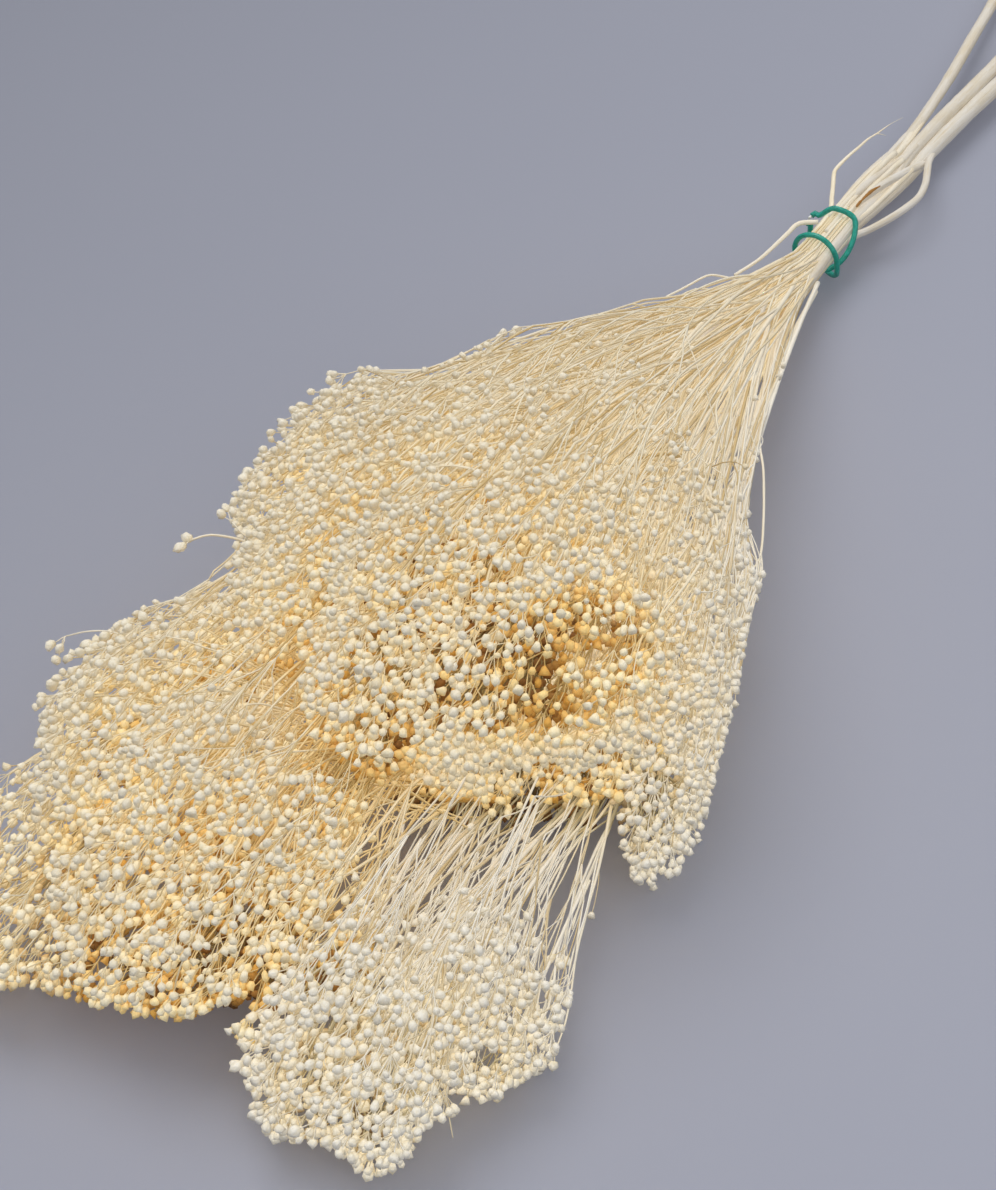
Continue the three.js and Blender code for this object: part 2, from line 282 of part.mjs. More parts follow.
    branch: [[-81.39, -3.67, 22.23, 0.85], [-108.37, -4.45, 24.99, 0.81], [-136.42, -5.22, 28.59, 0.78], [-165.81, -6.3, 31.85, 0.74], [-195.95, -7.65, 34.38, 0.71], [-225.75, -9.17, 35.73, 0.68], [-253.93, -10.69, 35.57, 0.64], [-279.22, -12.06, 33.82, 0.6], [-300.75, -13.18, 30.74, 0.57], [-318.7, -14.05, 26.88, 0.54], [-334.79, -14.8, 22.68, 0.5]],
    heads: [
      [10, -339.08, -15.04, 21.2, -342.32, -16.28, 19.05, 5.85],
      [8, -322.32, -21.76, 27.15, -332.57, -28.15, 23.17, 5.17],
      [8, -321.89, -7.34, 28.26, -331.35, -2.4, 24.77, 5.6],
      [8, -321.22, -15.6, 34.29, -331.38, -17.2, 36.74, 5.51],
    ],
  },
  far_spray_01: {
    branch: [[-107.65, 10.85, 23.17, 0.85], [-133.21, 16.46, 23.04, 0.81], [-159.53, 22.57, 26.29, 0.78], [-187.18, 28.83, 29.6, 0.74], [-215.57, 35.25, 32.42, 0.71], [-243.74, 41.59, 34.25, 0.68], [-270.59, 47.51, 34.71, 0.64], [-295.08, 52.69, 33.67, 0.6], [-316.59, 56.98, 31.36, 0.57], [-335.41, 60.46, 28.27, 0.54], [-352.9, 63.54, 24.79, 0.5]],
    heads: [
      [10, -360.31, 65.55, 23, -366.68, 68.69, 22.61, 5.1],
      [8, -339.49, 55.26, 29.58, -352.77, 53.72, 27.57, 4.94],
      [8, -335.8, 67.2, 30.77, -345.91, 74.3, 28.89, 4.99],
      [8, -336.28, 59.36, 37.43, -347.59, 61.33, 42.05, 4.51],
      [8, -331.82, 60.8, 17.65, -338.67, 62.67, 5.03, 5.03],
    ],
  },
  far_spray_02: {
    branch: [[-150.77, 19.05, 28.16, 0.85], [-177.14, 23.47, 30.69, 0.81], [-204.52, 27.92, 32.64, 0.77], [-232.95, 32.35, 33.64, 0.73], [-261.59, 36.65, 33.42, 0.69], [-289.05, 40.63, 31.85, 0.66], [-313.92, 44.15, 29.03, 0.62], [-335.16, 47.08, 25.28, 0.58], [-352.91, 49.49, 21.08, 0.54], [-368.85, 51.62, 16.68, 0.5]],
    heads: [
      [9, -374.41, 51.71, 15.05, -378.96, 51.79, 13.72, 4.71],
      [7, -356.21, 44.21, 22.09, -366.19, 40.75, 19.39, 4.38],
      [7, -355.48, 55.74, 20.72, -365.19, 60.28, 17.39, 4.34],
      [7, -355.92, 48.02, 26.67, -365.43, 49.92, 28.84, 4.37],
      [7, -350.87, 50.3, 14.35, -356.53, 51.92, 5.18, 5.18],
    ],
  },
  front_spray_01: {
    branch: [[-73.14, -9.98, 14.71, 0.85], [-99.02, -11.57, 15.21, 0.82], [-125.91, -13.85, 18.21, 0.79], [-154.2, -16.26, 22, 0.75], [-183.42, -19.49, 26.04, 0.72], [-212.92, -22.82, 29.61, 0.69], [-241.76, -25.83, 32.12, 0.66], [-268.9, -28.47, 33.12, 0.63], [-293.33, -31.06, 32.32, 0.6], [-314.47, -33.26, 29.97, 0.56], [-332.6, -35, 26.61, 0.53], [-349.22, -36.48, 22.79, 0.5]],
    heads: [
      [11, -356.22, -37.18, 21.17, -362.41, -36.18, 19.8, 5.01],
      [9, -334.24, -41.6, 27.43, -343.7, -48.56, 21.38, 4.92],
      [9, -335.29, -30.2, 28.71, -346.09, -26.56, 25.91, 4.71],
      [9, -335.66, -36.34, 34.93, -346.87, -37.97, 37.83, 4.68],
      [9, -329.19, -34.02, 16.67, -335.11, -34.35, 4.64, 4.64],
    ],
  },
  front_spray_02: {
    branch: [[-150.74, -21.1, 21.26, 0.85], [-176.48, -23.8, 23.56, 0.81], [-203.18, -26.37, 25.6, 0.77], [-230.93, -28.5, 26.5, 0.73], [-258.87, -30.5, 26.64, 0.69], [-285.7, -32.46, 25.87, 0.66], [-310.07, -34.38, 24.04, 0.62], [-330.99, -36.21, 21.22, 0.58], [-348.58, -37.95, 17.69, 0.54], [-364.44, -39.69, 13.77, 0.5]],
    heads: [
      [9, -369.79, -39.37, 13.89, -373.82, -39.76, 12.78, 5.09],
      [7, -350.74, -42.68, 19.14, -359.64, -46.37, 17.98, 5.16],
      [7, -351.27, -30.92, 19.83, -360.92, -25.98, 17.64, 4.98],
      [7, -351.43, -38.18, 24.17, -360.46, -40.66, 28.7, 4.59],
      [7, -346.85, -36.52, 12.67, -352.96, -36.7, 4.75, 4.75],
    ],
  },
  front_spray_03: {
    branch: [[-97.26, -13.34, 16.65, 0.85], [-124, -19.39, 17.8, 0.81], [-152.24, -23.84, 20.59, 0.78], [-181.63, -28.74, 23.67, 0.74], [-211.73, -33.95, 26.41, 0.71], [-241.54, -39.23, 28.31, 0.68], [-269.88, -44.24, 29.27, 0.64], [-295.64, -48.68, 29.26, 0.6], [-318, -52.45, 27.77, 0.57], [-337.13, -55.73, 24.5, 0.54], [-354.74, -58.66, 20.88, 0.5]],
    heads: [
      [10, -357.72, -63.71, 20.3, -368.1, -64.6, 18.22, 5.19],
      [8, -340.45, -63.54, 29.84, -351.19, -71, 24.98, 4.79],
      [8, -340.58, -48.63, 28.54, -352.09, -44, 24.42, 4.5],
      [8, -339.6, -57.36, 31.18, -351.04, -60.12, 32.91, 4.77],
      [8, -334.27, -55.23, 15.74, -341.35, -56.22, 4.85, 4.85],
      [9, -346.19, -68.65, 14, -348.67, -74.17, 9, 2],
    ],
  },
  front_spray_04: {
    branch: [[-48.14, -9.04, 11.39, 0.85], [-74.82, -13.57, 13.78, 0.82], [-102.54, -17.97, 17.08, 0.79], [-131.61, -22.73, 20.84, 0.75], [-161.71, -27.81, 24.82, 0.72], [-192.07, -33.26, 28.18, 0.69], [-221.68, -39.28, 29.99, 0.66], [-249.58, -44.84, 30.75, 0.63], [-274.76, -49.69, 30.29, 0.6], [-296.55, -53.71, 28.66, 0.56], [-315.16, -57.02, 26.2, 0.53], [-332.14, -59.97, 23.33, 0.5]],
    heads: [
      [11, -337.55, -61.31, 22.18, -340.22, -66.42, 23.41, 5.07],
      [9, -316.48, -62.72, 27.82, -326.51, -68.61, 26.11, 4.75],
      [9, -318.12, -51.76, 25.98, -329.33, -47.27, 23.16, 4.94],
      [9, -317.1, -58.06, 33.29, -327.35, -60.34, 35.93, 4.78],
      [9, -313.43, -56.12, 16.42, -320.68, -56.8, 5.26, 5.26],
    ],
  },
  front_spray_05: {
    branch: [[-121.8, -16.7, 17.65, 0.85], [-147.69, -20.94, 18.5, 0.81], [-174.52, -25.59, 19.87, 0.78], [-202.59, -30.53, 21.14, 0.74], [-231.37, -35.61, 21.95, 0.71], [-259.87, -40.62, 22.02, 0.68], [-286.87, -45.3, 21.22, 0.64], [-311.16, -49.42, 19.55, 0.6], [-331.81, -52.83, 17.22, 0.57], [-348.93, -55.57, 14.55, 0.54], [-364.18, -57.97, 11.74, 0.5]],
    heads: [
      [10, -369.44, -58.42, 10.97, -373.74, -58.78, 10.34, 4.37],
      [8, -350.94, -62.33, 14.78, -359.26, -68.79, 12.61, 4.5],
      [8, -352.51, -50.12, 14.99, -364.91, -45.93, 8.91, 4.79],
      [8, -350.57, -56.53, 18.88, -360.7, -56.92, 19.95, 5.07],
      [8, -348.55, -54.27, 10.45, -354.92, -54.14, 4.74, 4.74],
    ],
  },
  front_spray_06: {
    branch: [[-23.83, -8.64, 10.19, 0.85], [-49.35, -12.45, 11.53, 0.82], [-75.82, -16.86, 13.09, 0.79], [-103.61, -22.19, 14.89, 0.76], [-132.52, -28.41, 16.81, 0.73], [-161.99, -35.32, 18.58, 0.7], [-191.34, -42.43, 20.06, 0.68], [-219.81, -49.19, 21.09, 0.65], [-246.49, -55.61, 21.21, 0.62], [-270.59, -61.37, 20.33, 0.59], [-291.57, -66.28, 18.57, 0.56], [-309.67, -70.39, 16.24, 0.53], [-326.33, -74.1, 13.64, 0.5]],
    heads: [
      [12, -332.19, -75.26, 12.52, -336.98, -76.22, 11.61, 4.94],
      [10, -311.69, -75.42, 16.79, -322.25, -81.32, 14.66, 4.58],
      [10, -312.3, -66.45, 17.4, -323.35, -65.02, 15.78, 4.47],
      [10, -309.97, -71.21, 21.32, -318.84, -73.85, 22.79, 4.57],
      [10, -307.64, -69.75, 11.31, -314.89, -71.02, 4.71, 4.71],
    ],
  },
  right_spray_01: {
    branch: [[-23.63, -10.95, 14.81, 0.85], [-50.49, -17.84, 20.36, 0.8], [-77.78, -25.13, 26.05, 0.75], [-104.97, -32.94, 31.29, 0.7], [-130.94, -40.65, 35.12, 0.65], [-154.84, -47.73, 36.86, 0.6], [-176.79, -54.1, 36.71, 0.55], [-197.88, -60.12, 35.54, 0.5]],
    heads: [
      [7, -208.03, -56.83, 32.24, -216.44, -67.02, 36.54, 5.22],
      [5, -177.85, -58.46, 38.95, -192.48, -65.74, 37.41, 4.96],
      [5, -177.61, -51.68, 40.18, -192.13, -53.13, 39.65, 5.25],
      [5, -176.76, -54.62, 46.59, -190.58, -58.47, 51.3, 4.33],
      [5, -169.32, -54.09, 20.79, -178.57, -54.52, 4.91, 4.91],
    ],
  },
  right_spray_02: {
    branch: [[-51.85, -14.17, 17.83, 0.85], [-75.99, -21.87, 21.15, 0.81], [-100.85, -29.65, 25.55, 0.76], [-126.25, -37.59, 29.68, 0.72], [-151.37, -45.35, 32.71, 0.68], [-174.69, -52.99, 33.9, 0.63], [-195.7, -59.99, 32.96, 0.59], [-214.95, -66.04, 30.4, 0.54], [-233.62, -71.61, 28.29, 0.5]],
    heads: [
      [8, -240.78, -73.98, 27.36, -244.51, -78.09, 25.26, 5.25],
      [6, -216.79, -72.96, 32.64, -230.72, -81.17, 29.56, 4.32],
      [6, -216.82, -60.86, 36.11, -230.21, -61.27, 33.07, 5.15],
      [6, -215.34, -67.78, 43.14, -228.31, -71.51, 46.08, 4.43],
      [6, -211.22, -64.87, 19.51, -220.15, -67.04, 5.23, 5.23],
    ],
  },
  right_spray_03: {
    branch: [[-84.72, -22.38, 23.23, 0.85], [-108.42, -29.72, 25.74, 0.81], [-132.8, -37.31, 27.67, 0.76], [-157.63, -45.04, 28.55, 0.72], [-181.8, -52.52, 28.06, 0.68], [-203.9, -59.24, 26.09, 0.63], [-222.84, -64.84, 22.89, 0.59], [-238.64, -69.38, 18.96, 0.54], [-252.8, -73.36, 14.71, 0.5]],
    heads: [
      [8, -257.06, -74.61, 13.07, -260.55, -75.64, 11.73, 5.15],
      [6, -240.89, -74.71, 19.55, -249.12, -80.66, 16.18, 4.55],
      [6, -242.37, -65.76, 20.08, -251.8, -64.38, 17.16, 4.51],
      [6, -241.43, -70.69, 25.88, -252.76, -71.97, 28.69, 5],
      [6, -236.54, -68.7, 13.29, -241.21, -69.72, 4.82, 4.82],
    ],
  },
  under_spray_01: {
    branch: [[-70.75, 0.87, 17.63, 0.85], [-94.91, 3.74, 19.89, 0.8], [-119.55, 6.99, 21.93, 0.75], [-144.26, 10.51, 23.48, 0.7], [-168.06, 13.91, 24.28, 0.65], [-190.24, 16.82, 24.2, 0.6], [-210.97, 19.19, 23.36, 0.55], [-231.11, 21.28, 22.15, 0.5]],
    heads: [
      [7, -241.42, 21.75, 22.87, -249.86, 22.14, 23.46, 4.38],
      [5, -214, 12.57, 25.29, -229.94, 6.04, 24.08, 4.61],
      [5, -211.35, 27.25, 26.36, -225.59, 34.71, 26.83, 4.59],
      [5, -206.48, 20.03, 14.17, -216.74, 21.59, 4.68, 4.68],
    ],
  },
  under_spray_02: {
    branch: [[-44.12, 0.24, 14.2, 0.85], [-70.25, -1.16, 16.75, 0.8], [-96.84, -2.06, 19.61, 0.75], [-123.49, -2.89, 22.31, 0.7], [-149.02, -3.48, 24.42, 0.65], [-172.52, -3.88, 25.48, 0.6], [-194.03, -4.84, 24.62, 0.55], [-214.59, -6.56, 22.15, 0.5]],
    heads: [
      [7, -225.78, -6.31, 21.83, -234.94, -6.1, 21.57, 4.33],
      [5, -195.87, -16.37, 26.87, -213.56, -21.63, 22.12, 5.03],
      [5, -195.74, 2.98, 24.76, -210.77, 7.71, 23.09, 4.75],
      [5, -188.56, -3.22, 12.3, -201.16, -4.95, 4.52, 4.52],
    ],
  },
  under_spray_03: {
    branch: [[-22.03, -1.1, 13.61, 0.85], [-47.47, -2.35, 16.19, 0.8], [-72.85, -6.6, 18.57, 0.75], [-98.55, -10.25, 21.17, 0.7], [-123.22, -13.76, 22.95, 0.65], [-146.01, -16.93, 23.56, 0.6], [-167.11, -19.51, 23.12, 0.55], [-187.53, -21.42, 22.09, 0.5]],
    heads: [
      [7, -196.67, -22.95, 21.66, -203.65, -23.89, 20.09, 4.77],
      [5, -168.6, -27.19, 24.7, -183.52, -35.63, 22.91, 4.57],
      [5, -168.36, -11.21, 25.12, -184.11, -8.07, 20.86, 4.42],
      [5, -163.2, -19.64, 14.03, -173.83, -19.18, 4.37, 4.37],
    ],
  },
  under_spray_04: {
    branch: [[-33.78, 6.9, 16.93, 0.85], [-57.16, 14.1, 19.17, 0.81], [-81.13, 22.07, 21.25, 0.76], [-105.52, 30.83, 22.99, 0.72], [-129.55, 39.8, 24.19, 0.68], [-152.28, 48.22, 24.68, 0.63], [-173.14, 55.59, 24.39, 0.59], [-192.37, 61.96, 23.48, 0.54], [-210.91, 67.85, 22.26, 0.5]],
    heads: [
      [8, -221.03, 69.62, 22.98, -229.32, 71.07, 23.57, 4.31],
      [6, -196.68, 55.24, 24.37, -212.61, 53.01, 23.3, 4.37],
      [6, -191.61, 69.38, 24.85, -203.39, 78.72, 24.18, 4.75],
      [6, -187.29, 61.44, 14.13, -195.52, 64.29, 4.69, 4.69],
    ],
  },
};

// ---- colours ---------------------------------------------------------------
const IVORY = 0xe9dfc4;
const STRAW = 0xdcc99a;
const CREAM = 0xf0e6c8;
const GREEN = 0x0b7d64;

// ---- geometry helpers ------------------------------------------------------
const wasm = await Module();
wasm.setup();

// A way through fixed points, so that a tube has one ring of corners at each of them.
class Way extends THREE.Curve {
  constructor(points) {
    super();
    this.points = points.map((p) => new THREE.Vector3(p[0], p[1], p[2]));
  }
  getPoint(t, target = new THREE.Vector3()) {
    const n = this.points.length - 1;
    const s = Math.min(Math.max(t * n, 0), n);
    const i = Math.min(Math.floor(s + 1e-9), n - 1);
    return target.lerpVectors(this.points[i], this.points[i + 1], s - i);
  }
  getPointAt(u, target) { return this.getPoint(u, target); }
  getSpacedPoints(divisions) {
    return Array.from({ length: divisions + 1 }, (_, i) => this.getPoint(i / divisions));
  }
  getTangent(t, target = new THREE.Vector3()) {
    const n = this.points.length - 1;
    const i = Math.round(t * n);
    const before = this.points[Math.max(i - 1, 0)];
    const after = this.points[Math.min(i + 1, n)];
    return target.subVectors(after, before).normalize();
  }
  getTangentAt(u, target) { return this.getTangent(u, target); }
}

function ring(sides) {
  const shape = new THREE.Shape();
  for (let k = 0; k < sides; k++) {
    const a = (k / sides) * 2 * Math.PI;
    if (k === 0) shape.moveTo(Math.cos(a), Math.sin(a));
    else shape.lineTo(Math.cos(a), Math.sin(a));
  }
  shape.closePath();
  return shape;
}

function bare(geometry) {
  geometry.deleteAttribute('normal');
  geometry.deleteAttribute('uv');
  return mergeVertices(geometry, 1e-4);
}

// A round shoot that tapers: a unit tube along the way, each ring then drawn in to its radius.
function shoot(points, sides) {
  const way = new Way(points);
  const geometry = bare(new THREE.ExtrudeGeometry(ring(sides), {
    steps: points.length - 1, extrudePath: way, bevelEnabled: false, curveSegments: 1,
  }));
  const position = geometry.attributes.position;
  const v = new THREE.Vector3();
  for (let k = 0; k < position.count; k++) {
    v.fromBufferAttribute(position, k);
    let best = 0;
    let least = Infinity;
    way.points.forEach((c, i) => {
      const d = c.distanceToSquared(v);
      if (d < least) { least = d; best = i; }
    });
    const c = way.points[best];
    v.sub(c).multiplyScalar(points[best][3]).add(c);
    position.setXYZ(k, v.x, v.y, v.z);
  }
  return geometry;
}

// A stalk that swells into a cluster of buds. A cluster that lies on the surface is flat there.
function head(root, bend, centre, r) {
  const [x, y, z] = centre;
  const out = new THREE.Vector3(x - bend[0], y - bend[1], z - bend[2]).normalize();
  const at = (k, radius) => [x + out.x * k * r, y + out.y * k * r, z + out.z * k * r, radius];
  const geometry = shoot([
    [root[0], root[1], root[2], root[3] * 0.8],
    [...bend, STALK_RADIUS],
    at(-1, STALK_RADIUS), at(0.1, r), at(0.95, 0.25 * r),
  ], STALK_SIDES);
  if (z - r < 0.011) {
    const position = geometry.attributes.position;
    for (let k = 0; k < position.count; k++) {
      if (position.getZ(k) < LYING_DEPTH) position.setZ(k, 0.01);
    }
  }
  return geometry;
}

function solid(geometry) {
  return new wasm.Manifold(new wasm.Mesh({
    numProp: 3,
    vertProperties: new Float32Array(geometry.attributes.position.array),
    triVerts: new Uint32Array(geometry.index.array),
  }));
}

function joined(geometries) {
  let body = solid(geometries[0]);
  for (const g of geometries.slice(1)) body = body.add(solid(g));
  const mesh = body.getMesh();
  const geometry = new THREE.BufferGeometry();
  geometry.setAttribute('position', new THREE.BufferAttribute(new Float32Array(mesh.vertProperties), 3));
  geometry.setIndex(new THREE.BufferAttribute(new Uint32Array(mesh.triVerts), 1));
  geometry.computeVertexNormals();
  return geometry;
}

// ---- the bunch ---------------------------------------------------------------
const bunch = new THREE.Group();
bunch.name = 'dried_broom_bloom_bunch';
bunch.position.set(...TIE_FROM_ORIGIN);

function piece(name, geometry, color, roughness) {
  const mesh = new THREE.Mesh(geometry, new THREE.MeshStandardMaterial({ color, roughness, metalness: 0 }));
  mesh.name = name;
  bunch.add(mesh);
}

// Stems: a main shoot and its side shoots, grown as one.
for (const [name, shoots] of Object.entries(STEMS)) {
  const geometries = shoots.map((points, i) => shoot(points, i === 0 ? STEM_SIDES : SHOOT_SIDES));
  piece(name, joined(geometries), IVORY, 0.75);
}

// Flower sprays: a branch, its stalks and their clusters of buds.
for (const [name, spray] of Object.entries(SPRAYS)) {
  const geometries = [shoot(spray.branch, BRANCH_SIDES)];
  for (const [from, bx, by, bz, x, y, z, r] of spray.heads) {
    geometries.push(head(spray.branch[from], [bx, by, bz], [x, y, z], r));
  }
  piece(name, joined(geometries), CREAM, 0.8);
}

// The tie: one wire, two turns and two short ends.
{
  const [cy, cz] = BUNDLE_CENTRE;
  const turns = WIRE_TURNS.map(([angle, x, r]) => {
    const a = THREE.MathUtils.degToRad(angle);
    return [x, cy + r * Math.cos(a), cz + r * Math.sin(a), WIRE_RADIUS];
  });
  const way = [...WIRE_START, ...turns, ...WIRE_END].map((p) => [p[0], p[1], p[2], WIRE_RADIUS]);
  piece('tie_wire', joined([shoot(way, WIRE_SIDES)]), GREEN, 0.35);
}

piece('kinked_twig', joined([shoot(KINKED_TWIG, SHOOT_SIDES)]), STRAW, 0.75);

export default bunch;
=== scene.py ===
"""Looks of a tied bunch of dried, bleached broom bloom, lying on a plain surface.

Lengths in the tables and in the growing code are millimetres in the part's frame: +X runs along the bunch towards
the cut ends of the stems, -X towards the flowers, +Z up from the surface. Pieces are written in metres.
"""
import json
import math

import bpy
import numpy as np
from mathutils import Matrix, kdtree

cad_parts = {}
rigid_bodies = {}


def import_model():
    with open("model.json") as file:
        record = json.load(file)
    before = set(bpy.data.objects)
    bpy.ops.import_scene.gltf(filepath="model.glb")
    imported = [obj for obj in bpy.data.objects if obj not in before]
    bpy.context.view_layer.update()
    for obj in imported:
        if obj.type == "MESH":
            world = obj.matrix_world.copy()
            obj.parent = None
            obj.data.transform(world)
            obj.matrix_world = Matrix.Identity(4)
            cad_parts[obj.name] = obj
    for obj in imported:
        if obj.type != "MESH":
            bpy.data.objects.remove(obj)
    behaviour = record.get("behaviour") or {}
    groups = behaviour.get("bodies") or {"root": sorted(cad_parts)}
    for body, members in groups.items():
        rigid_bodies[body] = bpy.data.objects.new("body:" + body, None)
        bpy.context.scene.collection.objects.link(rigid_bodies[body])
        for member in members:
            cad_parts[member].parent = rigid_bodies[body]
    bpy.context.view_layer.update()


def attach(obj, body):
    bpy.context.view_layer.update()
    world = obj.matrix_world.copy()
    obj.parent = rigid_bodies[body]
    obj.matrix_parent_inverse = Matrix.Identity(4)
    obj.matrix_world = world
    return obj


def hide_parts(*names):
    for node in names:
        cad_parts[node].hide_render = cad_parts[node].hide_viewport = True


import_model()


scene = bpy.context.scene

# ---- camera ----------------------------------------------------------------
lens = bpy.data.cameras.new("camera")
lens.sensor_fit = "VERTICAL"
lens.sensor_height = 36.0
lens.lens = 68.067
lens.clip_start = 0.02
camera = bpy.data.objects.new("camera", lens)
camera.location = (-0.49678, -0.22324, 0.500)
camera.rotation_euler = (math.radians(42.0), 0.0, math.radians(-58.0))
scene.collection.objects.link(camera)
scene.camera = camera

# ---- the plant, as measured ----------------------------------------------------
# Limbs: the stem they belong to, then their way (x, y, z, radius) from the cut or the fork to the tip.
LIMBS = {
    "a0": ("stem_left", [(303.6, 23.9, 2.1, 2.24), (272.6, 18.4, 4.2, 2.2), (243.6, 13.4, 6.2, 2.16), (214.4, 9.6, 7.8, 2.13), (185, 5.8, 9.1, 2.09), (158.2, 3.5, 9.7, 1.98), (134.2, 2.7, 9.3, 1.87), (110.9, 2.4, 6, 1.79), (86.6, 1.5, 9.6, 1.75), (68.6, 1.6, 9.7, 1.75), (58.6, 1.5, 9.6, 1.75), (35.9, 3.2, 11, 1.55), (13.8, 5.5, 16, 1.38), (-8.5, 7.8, 21, 1.21), (-31.7, 11.5, 25.3, 1.06), (-54.6, 15.8, 26.3, 0.9), (-77.4, 20.3, 28.1, 0.75)]),
    "a1": ("stem_left", [(136.6, 3.3, 9.3, 1.3), (124.4, 3.6, 12.1, 1.3), (112.1, 3.9, 13.9, 1.3), (99.5, 3.9, 15, 1.3), (86.6, 3.5, 15.3, 1.3), (68.6, 3.5, 15.2, 1.3), (58.6, 3.5, 15.3, 1.3), (37, 7, 19, 1.1), (15.3, 11.2, 22.4, 0.92), (-5.4, 18.1, 27.8, 0.75)]),
    "a2": ("stem_left", [(144.6, 3.7, 9.5, 1.35), (131.7, 2.9, 11.9, 1.35), (118.1, 2.5, 13.2, 1.35), (103.3, 1, 15.1, 1.35), (86.6, 0.6, 14.9, 1.35), (68.6, 0.7, 14.9, 1.35), (58.6, 0.6, 14.9, 1.35), (38.3, 3.1, 19.2, 1.18), (18.1, 6.7, 25.3, 1.03), (-2.4, 8.6, 33.6, 0.89), (-23.4, 9.2, 38.1, 0.75)]),
    "b0": ("stem_middle", [(293.7, -12.3, 2.8, 2.97), (267.7, -9.8, 4.6, 2.88), (236.8, -7, 6.6, 2.79), (207.5, -5.6, 8.1, 2.7), (180.1, -4.3, 9.4, 2.6), (155.6, -2.8, 10.4, 2.45), (131.2, -2.2, 11, 2.23), (108.7, -5, 13, 2.1), (86.6, -4.8, 16.7, 2), (68.6, -4.7, 16.6, 2), (58.6, -4.8, 16.7, 2), (36.2, -7, 20.1, 1.71), (14.4, -5.6, 26.5, 1.45), (-6.3, -3.8, 38.3, 1.21), (-27.3, -5, 48.3, 0.98), (-49.3, -8.5, 55.7, 0.75)]),
    "b1": ("stem_middle", [(132.6, -2.3, 10.9, 1.3), (119, -0.7, 14, 1.3), (101.2, -0.1, 17.9, 1.3), (86.6, 1.5, 17.6, 1.3), (68.6, 1.6, 17.6, 1.3), (58.6, 1.5, 17.6, 1.3), (38.8, 0.6, 25.5, 1.1), (18.7, 0.7, 32.2, 0.92), (-1.4, 0.4, 40, 0.75)]),
    "b2": ("stem_middle", [(142.6, -2.5, 10.7, 1.35), (129.9, -2.5, 12.2, 1.35), (116.6, -2.7, 13.3, 1.35), (102.2, -3.4, 14.2, 1.35), (86.6, -2.2, 14.3, 1.35), (68.6, -2.1, 14.3, 1.35), (58.6, -2.2, 14.3, 1.35), (37.7, -4.9, 18.1, 1.23), (17, -3.6, 20.9, 1.13), (-4.3, -2.1, 23.8, 1.03), (-25.2, -1.1, 26.9, 0.93), (-46.2, 0, 30.4, 0.84), (-67.4, 0.9, 33.4, 0.75)]),
    "b3": ("stem_middle", [(124.6, -3, 11.6, 1.25), (112.2, -1.1, 11.9, 1.25), (99.5, 1.3, 11.5, 1.25), (86.6, 2.4, 12.7, 1.25), (68.6, 2.4, 12.7, 1.25), (58.6, 2.4, 12.7, 1.25), (40.2, 3.5, 14.9, 1.06), (21.5, 2.8, 16.5, 0.9), (2.6, 2.3, 17.6, 0.75)]),
    "c0": ("stem_right", [(313, -24.2, 3, 3.19), (279.9, -20.7, 4.6, 3.09), (244.8, -16.3, 6.4, 2.98), (217.9, -13.5, 7.5, 2.87), (191.7, -11.1, 8.5, 2.76), (166.2, -8.9, 9.2, 2.77), (140.8, -7.1, 9.3, 2.59), (114.9, -5.5, 8.3, 2.14), (86.6, -2.9, 9.9, 1.95), (68.6, -2.8, 9.9, 1.95), (58.6, -2.9, 9.9, 1.95), (35.9, -5, 12.1, 1.71), (13.7, -7.3, 15.5, 1.5), (-8.5, -10.1, 18.3, 1.31), (-31.4, -12.7, 19.4, 1.12), (-54.5, -16.1, 20, 0.93), (-77.4, -19.6, 21.2, 0.75)]),
    "c1": ("stem_right", [(132.6, -7.9, 9.1, 1.35), (118, -6.5, 14, 1.35), (100.5, -4.2, 17.9, 1.35), (86.6, -1.3, 17.1, 1.35), (68.6, -1.2, 17, 1.35), (58.6, -1.3, 17.1, 1.35), (38.1, -1.3, 21.1, 1.18), (18.9, -3.4, 28.3, 1.03), (0.4, -9.3, 36.6, 0.89), (-19.3, -14.9, 41.3, 0.75)]),
    "c2": ("stem_right", [(139.1, -8.3, 9, 1.35), (131.6, -10.1, 11, 1.35), (124.3, -12.7, 12, 1.35), (116.9, -15.2, 13, 1.35), (109.7, -16.2, 13, 1.35), (100.7, -15.5, 14, 1.35), (91.9, -12.9, 13.8, 1.35), (84.3, -9.2, 12.8, 1.35), (76.8, -5.6, 12.8, 1.35), (68.6, -4.7, 12.8, 1.35), (58.4, -4.4, 12.8, 1.35), (33.6, -6.9, 17.5, 1.13), (10.3, -12.5, 21.7, 0.93), (-12.7, -18.7, 23.2, 0.75)]),
    "c3": ("stem_right", [(124.7, -5.6, 8.7, 1.25), (111.9, -4.1, 9, 1.25), (98.9, -2.2, 10.1, 1.25), (86.6, -0.3, 12.3, 1.25), (68.6, -0.2, 12.2, 1.25), (58.6, -0.3, 12.3, 1.25), (36.2, -4.1, 13.3, 1.11), (13.7, -6, 19.1, 0.98), (-8.9, -8.4, 24.3, 0.86), (-31.4, -11.3, 29.7, 0.75)]),
}
